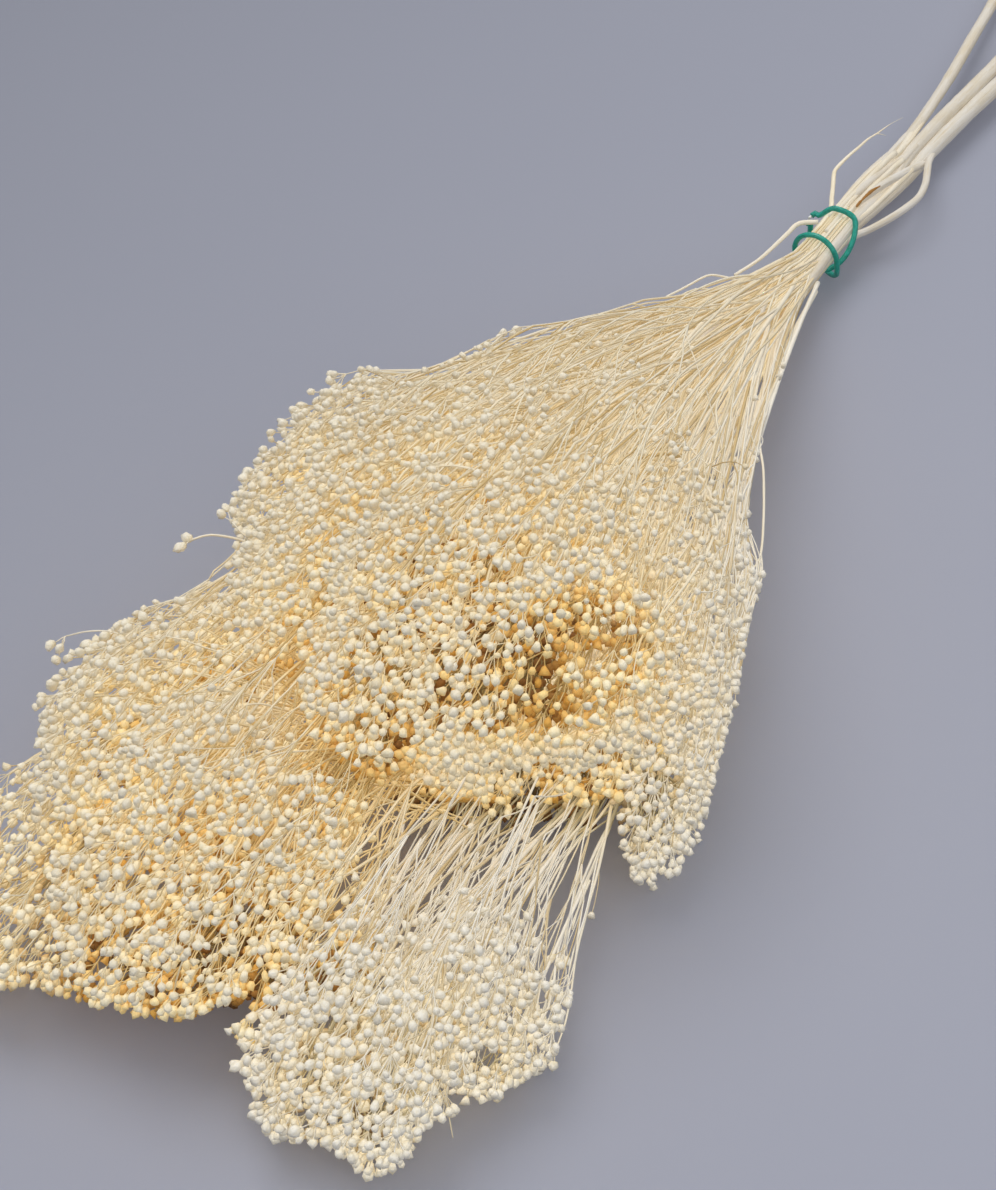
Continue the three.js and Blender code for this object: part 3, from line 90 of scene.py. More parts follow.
# Sprays: the limb, the centre, the direction of growth, the half sizes along, across and up, and the way of the branch.
SPRAYS = {
    "upper_spray_01": ("a2", (-112.9, 24.6, 66), (-0.99, 0.134, -0.035), (30, 16.3, 15), [(47, 2.7, 19.9, 0.85), (20.7, 6.6, 28.8, 0.8), (-5.7, 10.9, 38.8, 0.75), (-32.1, 15.5, 48.4, 0.7), (-57.1, 20.1, 56.4, 0.65), (-79.7, 24.3, 61.9, 0.6), (-99.9, 27.6, 64.4, 0.55), (-119, 30, 64.7, 0.5)]),
    "upper_spray_02": ("b1", (-90.8, 9.7, 60), (-0.998, 0.055, 0), (30, 16.1, 14), [(43, 3.1, 23.6, 0.85), (16.5, 4.9, 32.9, 0.79), (-9.9, 6.3, 41.8, 0.73), (-35.3, 7.9, 49.4, 0.68), (-58.4, 9.5, 54.6, 0.62), (-79.1, 10.8, 57.5, 0.56), (-98.4, 12, 59.1, 0.5)]),
    "upper_spray_03": ("a2", (-153.6, 21.8, 78), (-0.994, 0.082, -0.07), (32, 22, 18), [(25.2, 3.3, 24.2, 0.85), (0.3, 5.5, 34.4, 0.81), (-25.4, 8.5, 44.6, 0.76), (-51.6, 11.6, 54.9, 0.72), (-77.5, 14.5, 64.1, 0.68), (-102, 17.1, 70.9, 0.63), (-124.6, 19.2, 74.7, 0.59), (-145.1, 21, 76.1, 0.54), (-164.7, 22.7, 76.3, 0.5)]),
    "upper_spray_04": ("b0", (-141.5, -1.9, 84), (-0.999, -0.014, -0.035), (34, 22, 17), [(29, -4.8, 24.6, 0.85), (6.6, -6.4, 37.1, 0.81), (-18.5, -4.5, 46.7, 0.76), (-43.4, -3.4, 57.1, 0.72), (-67.5, -2.7, 67.3, 0.68), (-90.8, -2.2, 75.1, 0.63), (-112.7, -1.9, 79.7, 0.59), (-133.3, -1.9, 81.8, 0.54), (-153.4, -2, 82.6, 0.5)]),
    "upper_spray_05": ("b1", (-113.8, -16.4, 74), (-0.996, -0.086, 0), (34, 20, 16), [(-2.1, 0.4, 40.3, 0.85), (-22.5, -3.1, 50.7, 0.79), (-43.8, -6.6, 59.2, 0.73), (-65.4, -9.9, 65.4, 0.68), (-86.1, -12.8, 69.6, 0.62), (-106, -15.3, 71.8, 0.56), (-125.6, -17.4, 73, 0.5)]),
    "upper_spray_06": ("a2", (-181.2, 25.9, 66), (-0.981, 0.088, -0.174), (30, 22, 22), [(1.9, 6.8, 30.2, 0.85), (-24.1, 7.8, 36.6, 0.81), (-50.6, 10.7, 45.8, 0.76), (-77.5, 14, 55.4, 0.72), (-104, 17.7, 63.7, 0.68), (-129.2, 21.1, 68.2, 0.63), (-152.2, 23.3, 67.8, 0.59), (-172.5, 25.1, 65.9, 0.54), (-191.5, 26.8, 63.3, 0.5)]),
    "upper_spray_07": ("b0", (-181, -5.8, 84), (-0.99, -0.026, -0.139), (32, 23, 20), [(-9.4, -5.7, 38, 0.85), (-33.1, -6.7, 46.2, 0.81), (-57.2, -6.3, 56.8, 0.76), (-82.2, -6.4, 67.1, 0.72), (-106.9, -6.8, 76, 0.68), (-130.7, -6.8, 81.6, 0.63), (-152.6, -6.9, 83.6, 0.59), (-172.8, -7.1, 83.3, 0.54), (-192.1, -6.1, 81.5, 0.5)]),
    "upper_spray_08": ("b0", (-167.3, -28.3, 88), (-0.988, -0.113, -0.105), (34, 23, 19), [(9.6, -7.7, 28.6, 0.85), (-15.8, -10.2, 37.8, 0.81), (-40.3, -13.3, 51.2, 0.76), (-65.6, -16.4, 63.6, 0.72), (-91, -19.5, 74, 0.68), (-115.3, -22.5, 81.3, 0.63), (-137.8, -25.1, 85.1, 0.59), (-158.8, -27.4, 86.2, 0.54), (-179.1, -29.6, 85.7, 0.5)]),
    "upper_spray_09": ("c1", (-137.1, -42, 74), (-0.98, -0.185, -0.07), (34, 21, 18), [(39.1, -3.8, 20.7, 0.85), (16.1, -10.7, 33.3, 0.81), (-9.9, -15.5, 42.4, 0.76), (-35.8, -20.9, 52.1, 0.72), (-61.3, -26.4, 60.8, 0.68), (-85.5, -31.5, 67.2, 0.63), (-107.9, -36.1, 70.9, 0.59), (-128.7, -40.3, 72.1, 0.54), (-148.8, -44.2, 72.1, 0.5)]),
    "upper_spray_10": ("b0", (-198.1, -6.7, 62), (-0.951, -0.013, -0.309), (28, 23.1, 25.2), [(-50, -8.7, 55.9, 0.85), (-74.5, -8, 60.7, 0.8), (-99.5, -6.7, 64.6, 0.75), (-124.6, -5.4, 66.9, 0.7), (-148.2, -4.2, 67.3, 0.65), (-169.3, -3.4, 65.6, 0.6), (-187.9, -3, 62.3, 0.55), (-205.2, -2.8, 58.1, 0.5)]),
    "upper_spray_11": ("b0", (-190.8, -26.7, 68), (-0.957, -0.095, -0.276), (28, 23, 24), [(-27.7, -6.9, 47.1, 0.85), (-55.4, -11.3, 53.8, 0.8), (-83.7, -14.7, 60.8, 0.75), (-111.9, -18.1, 66.5, 0.7), (-138.5, -21.1, 69.6, 0.65), (-161.9, -23.2, 69.8, 0.6), (-182.1, -24.8, 67.8, 0.55), (-200.3, -27, 64.6, 0.5)]),
    "upper_spray_12": ("c1", (-175.3, -45.2, 68), (-0.956, -0.166, -0.242), (28, 23, 24), [(-20, -15.1, 41.4, 0.85), (-46.2, -20.4, 50, 0.8), (-73, -25.8, 57.9, 0.75), (-99.7, -31, 64.1, 0.7), (-124.9, -35.7, 67.7, 0.65), (-147.3, -39.7, 68.3, 0.6), (-166.8, -43.3, 66.9, 0.55), (-184.7, -46.8, 64.7, 0.5)]),
    "upper_spray_13": ("c1", (-152.2, -56.6, 56), (-0.956, -0.235, -0.174), (32, 20, 22), [(11.2, -7.3, 30.1, 0.85), (-14.5, -18.1, 41.2, 0.8), (-42.9, -26.3, 46.2, 0.75), (-70.8, -34.8, 51.4, 0.7), (-97.3, -42.9, 54.9, 0.65), (-121, -49.9, 56, 0.6), (-142.1, -55.7, 55.1, 0.55), (-161.8, -61, 53.1, 0.5)]),
    "upper_spray_14": ("c3", (-187.4, -23.1, 38), (-0.921, -0.107, -0.375), (20, 22.4, 20), [(-32.1, -11.4, 29.9, 0.85), (-60, -15.2, 35.1, 0.8), (-88.3, -19, 39.7, 0.75), (-116.1, -22.5, 42.6, 0.7), (-141.7, -25.6, 43.2, 0.65), (-163.1, -28.2, 41.6, 0.6), (-180.1, -30.2, 38.5, 0.55), (-194.8, -31.9, 34.8, 0.5)]),
    "upper_spray_15": ("c3", (-169.7, -45.9, 36), (-0.911, -0.172, -0.375), (20, 20, 20), [(42.7, -5.1, 14.4, 0.85), (18.4, -9, 19.4, 0.81), (-7.1, -12.5, 24.2, 0.78), (-33.6, -17.5, 29.7, 0.74), (-60.6, -23.2, 34.9, 0.71), (-87.1, -29.2, 39.2, 0.68), (-112.1, -35.1, 41.6, 0.64), (-134.3, -40.2, 41.8, 0.6), (-152.9, -44.4, 39.9, 0.57), (-168.2, -47.6, 36.6, 0.54), (-181.6, -50.4, 32.8, 0.5)]),
    "left_spray_01": ("a1", (-130.4, 53.1, 60), (-0.965, 0.24, -0.105), (26.5, 16.2, 16.6), [(19.3, 12.3, 23, 0.85), (-5.8, 20, 31.7, 0.8), (-31.4, 27.8, 40.3, 0.75), (-56.7, 35.6, 48.1, 0.7), (-80.5, 42.8, 54, 0.65), (-101.7, 48.9, 57.3, 0.6), (-120.1, 54, 58.4, 0.55), (-137, 58.6, 58.3, 0.5)]),
    "left_spray_02": ("a1", (-146.1, 59.6, 46), (-0.947, 0.245, -0.208), (25.5, 17.1, 19), [(-6.1, 18.3, 27.9, 0.85), (-29.9, 26.3, 33.8, 0.8), (-54.1, 34.5, 39.4, 0.75), (-78.2, 42.4, 43.8, 0.7), (-101, 49.8, 46.3, 0.65), (-121.3, 56, 46.8, 0.6), (-138.9, 61.1, 45.5, 0.55), (-155.3, 65.6, 43.3, 0.5)]),
    "middle_spray_01": ("a2", (-202.5, 40.1, 44), (-0.96, 0.138, -0.242), (30, 20, 20.9), [(-24.1, 9.2, 38.3, 0.85), (-48.4, 14.4, 43.2, 0.81), (-73.7, 19.5, 47, 0.76), (-99.6, 24.8, 49.6, 0.72), (-125.2, 30.2, 50.6, 0.68), (-149.2, 35.2, 49.9, 0.63), (-170.6, 39.5, 47.6, 0.59), (-189.9, 42.6, 44.3, 0.54), (-208.3, 44.7, 40.6, 0.5)]),
    "middle_spray_02": ("a0", (-226.1, 53.7, 44), (-0.965, 0.161, -0.208), (30.9, 19.4, 21.3), [(42.8, 5, 12.1, 0.85), (17.5, 8.4, 15.9, 0.82), (-8.8, 12.2, 20.4, 0.79), (-36.3, 17, 25.8, 0.75), (-64.7, 22.5, 31.7, 0.72), (-93.4, 28.3, 37.4, 0.69), (-121.4, 34.2, 42.3, 0.66), (-148, 39.8, 45.7, 0.63), (-172.4, 44.9, 47.4, 0.6), (-194.1, 49.1, 46.8, 0.56), (-213.3, 52.5, 44.1, 0.53), (-231.5, 55.7, 41, 0.5)]),
    "middle_spray_03": ("a0", (-248.2, 53.2, 42), (-0.96, 0.141, -0.242), (28, 20, 22), [(4, 6.6, 15.6, 0.85), (-23.5, 12.5, 18.8, 0.81), (-52.1, 18, 24.4, 0.78), (-82.2, 23, 30.4, 0.74), (-113, 28.3, 36.3, 0.71), (-143.5, 33.5, 41.4, 0.68), (-172.6, 38.1, 44.8, 0.64), (-198.9, 42.6, 46.3, 0.6), (-221.7, 46.6, 45.5, 0.57), (-241.2, 49.9, 42.5, 0.54), (-259.1, 52.9, 39, 0.5)]),
    "middle_spray_04": ("b2", (-247.3, 24.1, 46), (-0.959, 0.064, -0.276), (28, 21, 22), [(19.1, -2, 18.9, 0.85), (-6.5, 0.9, 23.1, 0.82), (-33.1, 3.3, 28.3, 0.79), (-61.1, 5.9, 34, 0.75), (-90, 8.7, 39.8, 0.72), (-119.2, 11.8, 45, 0.69), (-147.7, 14.8, 49.1, 0.66), (-174.6, 17.6, 51.3, 0.63), (-199.1, 20, 51.4, 0.6), (-220.5, 21.9, 49.6, 0.56), (-239.2, 23.4, 46.3, 0.53), (-256.7, 24.8, 42.5, 0.5)]),
    "middle_spray_05": ("b2", (-243.3, 2.7, 40), (-0.961, 0.004, -0.276), (28, 21, 22), [(46.7, -1.5, 16.9, 0.85), (21.8, -0.6, 20.8, 0.82), (-4, -0.2, 25.3, 0.79), (-31.3, 0, 30, 0.76), (-59.8, 0.3, 34.8, 0.73), (-89, 0.7, 39.1, 0.7), (-117.9, 1.1, 43, 0.68), (-146, 1.6, 45.7, 0.65), (-172.2, 2, 46.9, 0.62), (-196, 2.3, 46.3, 0.59), (-217, 2.5, 44, 0.56), (-235.5, 2.6, 40.5, 0.53), (-252.8, 2.8, 36.5, 0.5)]),
    "middle_spray_06": ("b2", (-277.8, 24.2, 30), (-0.936, 0.081, -0.342), (26, 21, 20), [(-68.1, 1, 33.5, 0.85), (-93.1, 4.6, 36.6, 0.81), (-119, 8.6, 39.4, 0.77), (-145.8, 13.2, 41.3, 0.73), (-172.7, 17.9, 42.1, 0.69), (-198.6, 22.4, 41.4, 0.66), (-222.2, 26.3, 39.1, 0.62), (-242.7, 29.3, 35.5, 0.58), (-260.4, 31.5, 31, 0.54), (-276.6, 33.3, 26.1, 0.5)]),
    "middle_spray_07": ("b2", (-272.2, 2.9, 30), (-0.94, 0.012, -0.342), (26, 21, 20), [(-36.3, -0.7, 26.6, 0.85), (-61.4, 0.1, 29.4, 0.81), (-87.3, 1.1, 33.3, 0.78), (-114.5, 2, 36.7, 0.74), (-142.4, 3, 39.3, 0.71), (-170, 3.8, 40.7, 0.68), (-196.1, 4.6, 40.4, 0.64), (-219.7, 5.3, 38.4, 0.6), (-240.2, 5.9, 34.6, 0.57), (-257.7, 6.5, 29.8, 0.54), (-273.9, 6.9, 24.7, 0.5)]),
    "middle_spray_08": ("b2", (-255.7, -14.1, 26), (-0.95, -0.04, -0.309), (24, 20, 18), [(-8.8, -2.3, 22.2, 0.85), (-35.8, -3.1, 25, 0.81), (-63.8, -3.8, 28.6, 0.78), (-93.2, -4.9, 31.8, 0.74), (-123.3, -6.3, 34.4, 0.71), (-153.1, -7.8, 35.7, 0.68), (-181.3, -9.3, 35.6, 0.64), (-206.6, -10.7, 33.8, 0.6), (-228.1, -11.8, 30.7, 0.57), (-246.1, -12.7, 26.9, 0.54), (-262.2, -13.4, 22.7, 0.5)]),
    "far_spray_01": ("a0", (-274.5, 59.6, 28), (-0.957, 0.163, -0.242), (28, 16.2, 15.3), [(-35, 12.2, 23.2, 0.85), (-60.6, 17.8, 23, 0.81), (-86.9, 23.9, 26.3, 0.78), (-114.6, 30.2, 29.6, 0.74), (-143, 36.6, 32.4, 0.71), (-171.1, 43, 34.2, 0.68), (-198, 48.9, 34.7, 0.64), (-222.5, 54.1, 33.7, 0.6), (-244, 58.4, 31.4, 0.57), (-262.8, 61.8, 28.3, 0.54), (-280.3, 64.9, 24.8, 0.5)]),
    "far_spray_02": ("a0", (-293.4, 46.4, 20), (-0.943, 0.125, -0.309), (24, 17, 15), [(-78.2, 20.4, 28.2, 0.85), (-104.5, 24.9, 30.7, 0.81), (-131.9, 29.3, 32.6, 0.77), (-160.3, 33.7, 33.6, 0.73), (-189, 38, 33.4, 0.69), (-216.4, 42, 31.9, 0.66), (-241.3, 45.5, 29, 0.62), (-262.5, 48.5, 25.3, 0.58), (-280.3, 50.9, 21.1, 0.54), (-296.2, 53, 16.7, 0.5)]),
    "front_spray_01": ("c0", (-268, -34.8, 26), (-0.956, -0.096, -0.276), (26, 17, 18), [(-0.5, -8.6, 14.7, 0.85), (-26.4, -10.2, 15.2, 0.82), (-53.3, -12.5, 18.2, 0.79), (-81.6, -14.9, 22, 0.75), (-108.6, -28.6, 22, 0.72), (-137.7, -32.7, 14, 0.69), (-170.9, -25.1, 12, 0.66), (-195.5, -22.3, 16, 0.63), (-219.8, -24.9, 24, 0.6), (-240.8, -29.9, 29, 0.56), (-261.1, -32.5, 27, 0.53), (-277.1, -34.8, 23, 0.5)]),
    "front_spray_02": ("c0", (-282.7, -36.9, 18), (-0.965, -0.098, -0.242), (23.3, 17.5, 14), [(-78.1, -19.7, 21.3, 0.85), (-111.9, -30.5, 22, 0.81), (-139.4, -36.9, 14, 0.77), (-171.1, -33.3, 12, 0.73), (-194.3, -31.7, 16, 0.69), (-219.5, -32.3, 22, 0.66), (-242, -33.5, 24, 0.62), (-260.1, -33.6, 21, 0.58), (-276.8, -35.4, 18, 0.54), (-292.4, -37.7, 14, 0.5)]),
    "front_spray_03": ("c0", (-273.3, -54.4, 24), (-0.959, -0.15, -0.242), (28, 19, 16), [(-24.7, -12, 16.6, 0.85), (-51.4, -18, 17.8, 0.81), (-79.6, -22.5, 20.6, 0.78), (-110.7, -32.5, 22, 0.74), (-137, -40.7, 14, 0.71), (-167.1, -46.1, 12, 0.68), (-190.7, -48.2, 18, 0.64), (-218.3, -49.2, 25, 0.6), (-245.5, -51.1, 28, 0.57), (-264.8, -54.6, 25, 0.53), (-282.2, -57.4, 21, 0.5)]),
    "front_spray_04": ("c0", (-250.8, -57.1, 26), (-0.964, -0.164, -0.208), (26, 17, 16), [(24.5, -7.7, 11.4, 0.85), (-2.2, -12.2, 13.8, 0.82), (-29.9, -16.6, 17.1, 0.79), (-59, -21.3, 20.8, 0.75), (-89.1, -26.4, 24.8, 0.72), (-110.4, -33, 22, 0.69), (-136.1, -42.1, 14, 0.66), (-164.5, -50.3, 12, 0.63), (-189.9, -53.8, 18, 0.6), (-215, -56.2, 24, 0.56), (-237.8, -57.6, 25, 0.53), (-259.3, -58.5, 23, 0.5)]),
    "front_spray_05": ("c0", (-281.9, -54, 14), (-0.967, -0.146, -0.208), (20.9, 17.1, 12), [(-49.2, -15.3, 17.7, 0.85), (-75.1, -19.6, 18.5, 0.81), (-109.4, -31.2, 20, 0.78), (-136.5, -38.5, 12, 0.74), (-170.3, -41, 12, 0.71), (-194.9, -42.1, 17, 0.68), (-218.9, -43.6, 21, 0.64), (-241.4, -45.4, 22, 0.6), (-260, -49.1, 18, 0.57), (-276.9, -52.7, 15, 0.53), (-292, -56.4, 12, 0.5)]),
    "front_spray_06": ("c0", (-245.7, -69.6, 16), (-0.963, -0.206, -0.174), (26, 14, 12), [(48.8, -7.3, 10.2, 0.85), (23.3, -11.1, 11.5, 0.82), (-3.2, -15.5, 13.1, 0.79), (-31, -20.8, 14.9, 0.75), (-59.9, -27, 16.8, 0.72), (-108.5, -32.7, 20, 0.69), (-133.8, -42.8, 12, 0.66), (-161.6, -54.9, 12, 0.63), (-188.8, -62.5, 15, 0.6), (-215.4, -67.9, 18, 0.56), (-237.7, -71.6, 16, 0.53), (-253.6, -73.3, 14, 0.5)]),
    "right_spray_01": ("c2", (-114.3, -53.8, 38), (-0.958, -0.266, -0.105), (36, 11.4, 18), [(48, -7.9, 14.8, 0.85), (20.9, -14.5, 20.4, 0.8), (-6.3, -21.9, 26.1, 0.75), (-33.5, -29.8, 31.3, 0.7), (-59.4, -37.5, 35.1, 0.65), (-83.3, -44.7, 36.9, 0.6), (-105.2, -51.1, 36.7, 0.55), (-126.3, -57.1, 35.5, 0.5)]),
    "right_spray_02": ("c2", (-152, -64.4, 32), (-0.941, -0.265, -0.208), (32, 15, 22), [(19.6, -10.9, 17.8, 0.85), (-4.5, -18.6, 21.1, 0.81), (-29.4, -26.5, 25.5, 0.76), (-54.7, -34.4, 29.7, 0.72), (-79.8, -42.3, 32.7, 0.68), (-103.1, -49.9, 33.9, 0.63), (-124.1, -57, 33, 0.59), (-143.3, -63.1, 30.4, 0.54), (-162, -68.7, 28.3, 0.5)]),
    "right_spray_03": ("c2", (-171.8, -70.5, 18), (-0.907, -0.244, -0.342), (20.9, 12.6, 16), [(-13.3, -19.2, 23.2, 0.85), (-36.9, -26.5, 25.7, 0.81), (-61.3, -34.2, 27.7, 0.76), (-86.1, -42, 28.6, 0.72), (-110.2, -49.5, 28.1, 0.68), (-132.3, -56.2, 26.1, 0.63), (-151.2, -61.9, 22.9, 0.59), (-167, -66.4, 19, 0.54), (-181.2, -70.4, 14.7, 0.5)]),
    "under_spray_01": ("b3", (-146.7, 21.7, 24), (-0.994, 0.084, -0.07), (34, 22, 20), [(1.9, 2.2, 17.6, 0.85), (-22.3, 5.1, 19.9, 0.8), (-46.9, 8.4, 21.9, 0.75), (-71.6, 11.9, 23.5, 0.7), (-95.5, 15.3, 24.3, 0.65), (-117.6, 18.2, 24.2, 0.6), (-138.4, 20.6, 23.4, 0.55), (-158.5, 22.7, 22.1, 0.5)]),
    "under_spray_02": ("b3", (-130.1, -4.8, 24), (-0.997, -0.028, -0.07), (34, 22, 20), [(28.5, 1.6, 14.2, 0.85), (2.4, 0.2, 16.7, 0.8), (-24.2, -0.7, 19.6, 0.75), (-50.9, -1.5, 22.3, 0.7), (-76.4, -2.1, 24.4, 0.65), (-99.9, -2.5, 25.5, 0.6), (-121.4, -3.5, 24.6, 0.55), (-142, -5.2, 22.1, 0.5)]),
    "under_spray_03": ("b3", (-103.1, -18.8, 24), (-0.992, -0.102, -0.07), (34, 22, 18), [(50.6, 0.3, 13.6, 0.85), (25.1, -1, 16.2, 0.8), (-0.2, -5.2, 18.6, 0.75), (-25.9, -8.9, 21.2, 0.7), (-50.6, -12.4, 22.9, 0.65), (-73.4, -15.6, 23.6, 0.6), (-94.5, -18.1, 23.1, 0.55), (-114.9, -20, 22.1, 0.5)]),
    "under_spray_04": ("a1", (-127.6, 66.1, 24), (-0.957, 0.281, -0.07), (32, 20, 18), [(38.8, 8.3, 16.9, 0.85), (15.4, 15.5, 19.2, 0.81), (-8.5, 23.4, 21.2, 0.76), (-32.9, 32.2, 23, 0.72), (-56.9, 41.2, 24.2, 0.68), (-79.7, 49.6, 24.7, 0.63), (-100.5, 57, 24.4, 0.59), (-119.8, 63.3, 23.5, 0.54), (-138.3, 69.2, 22.3, 0.5)]),
}
# The tie: the way of its wire.
WIRE = [(75.16, 8.42, 17.6), (76.29, 7.57, 18.4), (75.8, 5.83, 18.6), (77.61, 2.59, 21.54), (77.81, -0.52, 22.17), (78.21, -3.52, 21.64), (78.01, -6.05, 20.35), (76.01, -7.55, 18.26), (73.41, -8.36, 15.87), (70.81, -8.45, 13.37), (68.41, -7.8, 10.96), (66.41, -6.25, 8.66), (64.71, -3.76, 6.92), (63.51, -0.52, 6.23), (62.71, 2.85, 6.98), (62.11, 5.59, 9.08), (61.71, 7.18, 12.14), (61.61, 7.38, 15.59), (61.51, 6.05, 18.8), (61.31, 3.46, 21.1), (61.11, 0.17, 22.14), (60.91, -3.25, 21.69), (60.71, -6.16, 19.84), (60.61, -7.96, 17.2), (60.61, -8.74, 14.2), (61.21, -8.9, 11.15), (63.01, -8.12, 7.82), (65.41, -5.78, 5.09), (68.21, -2, 3.68), (70.81, 2.2, 4.04), (73.01, 5.65, 6.3), (74.41, 7.55, 9.54), (75.01, 8.21, 12.35), (74.91, 8.28, 14.4), (74.21, 9.58, 14.6)]
KINKED = [(66.03, 2.99, 18.4, 0.8), (73.26, 3.24, 18.5, 0.84), (81.04, 4.26, 18.4, 0.82), (87.28, 6.84, 18.3, 0.8), (93.59, 9.49, 18.2, 0.78), (98.23, 11.52, 18.2, 0.76), (101.13, 12.46, 18.3, 0.74), (104.63, 12.47, 18.4, 0.68), (110.27, 11.82, 18.9, 0.6), (116.24, 10.73, 19.4, 0.51), (121.45, 9.83, 19.9, 0.4), (125.38, 8.46, 20.2, 0.3), (129.19, 7.42, 20.5, 0.22), (131.89, 6.61, 20.8, 0.15)]
HAIR = [(129.19, 7.42, 20.5), (131.89, 6.61, 20.8), (134.64, 5.43, 21.1), (137.43, 4.07, 21.4)]
SPLIT = [(123.43, 9.25, 20), (125.32, 8.44, 20.2), (125.87, 6.97, 20.3), (126.17, 5.18, 20.3)]
# Splits in the bark above the tie.
SLITS = [[(100.7, -4.9, 19), (96.5, -4.1, 19.7), (92.6, -3.7, 20), (87.7, -3.4, 20.1)], [(89.2, -3.4, 20), (84.7, -3.4, 20)]]
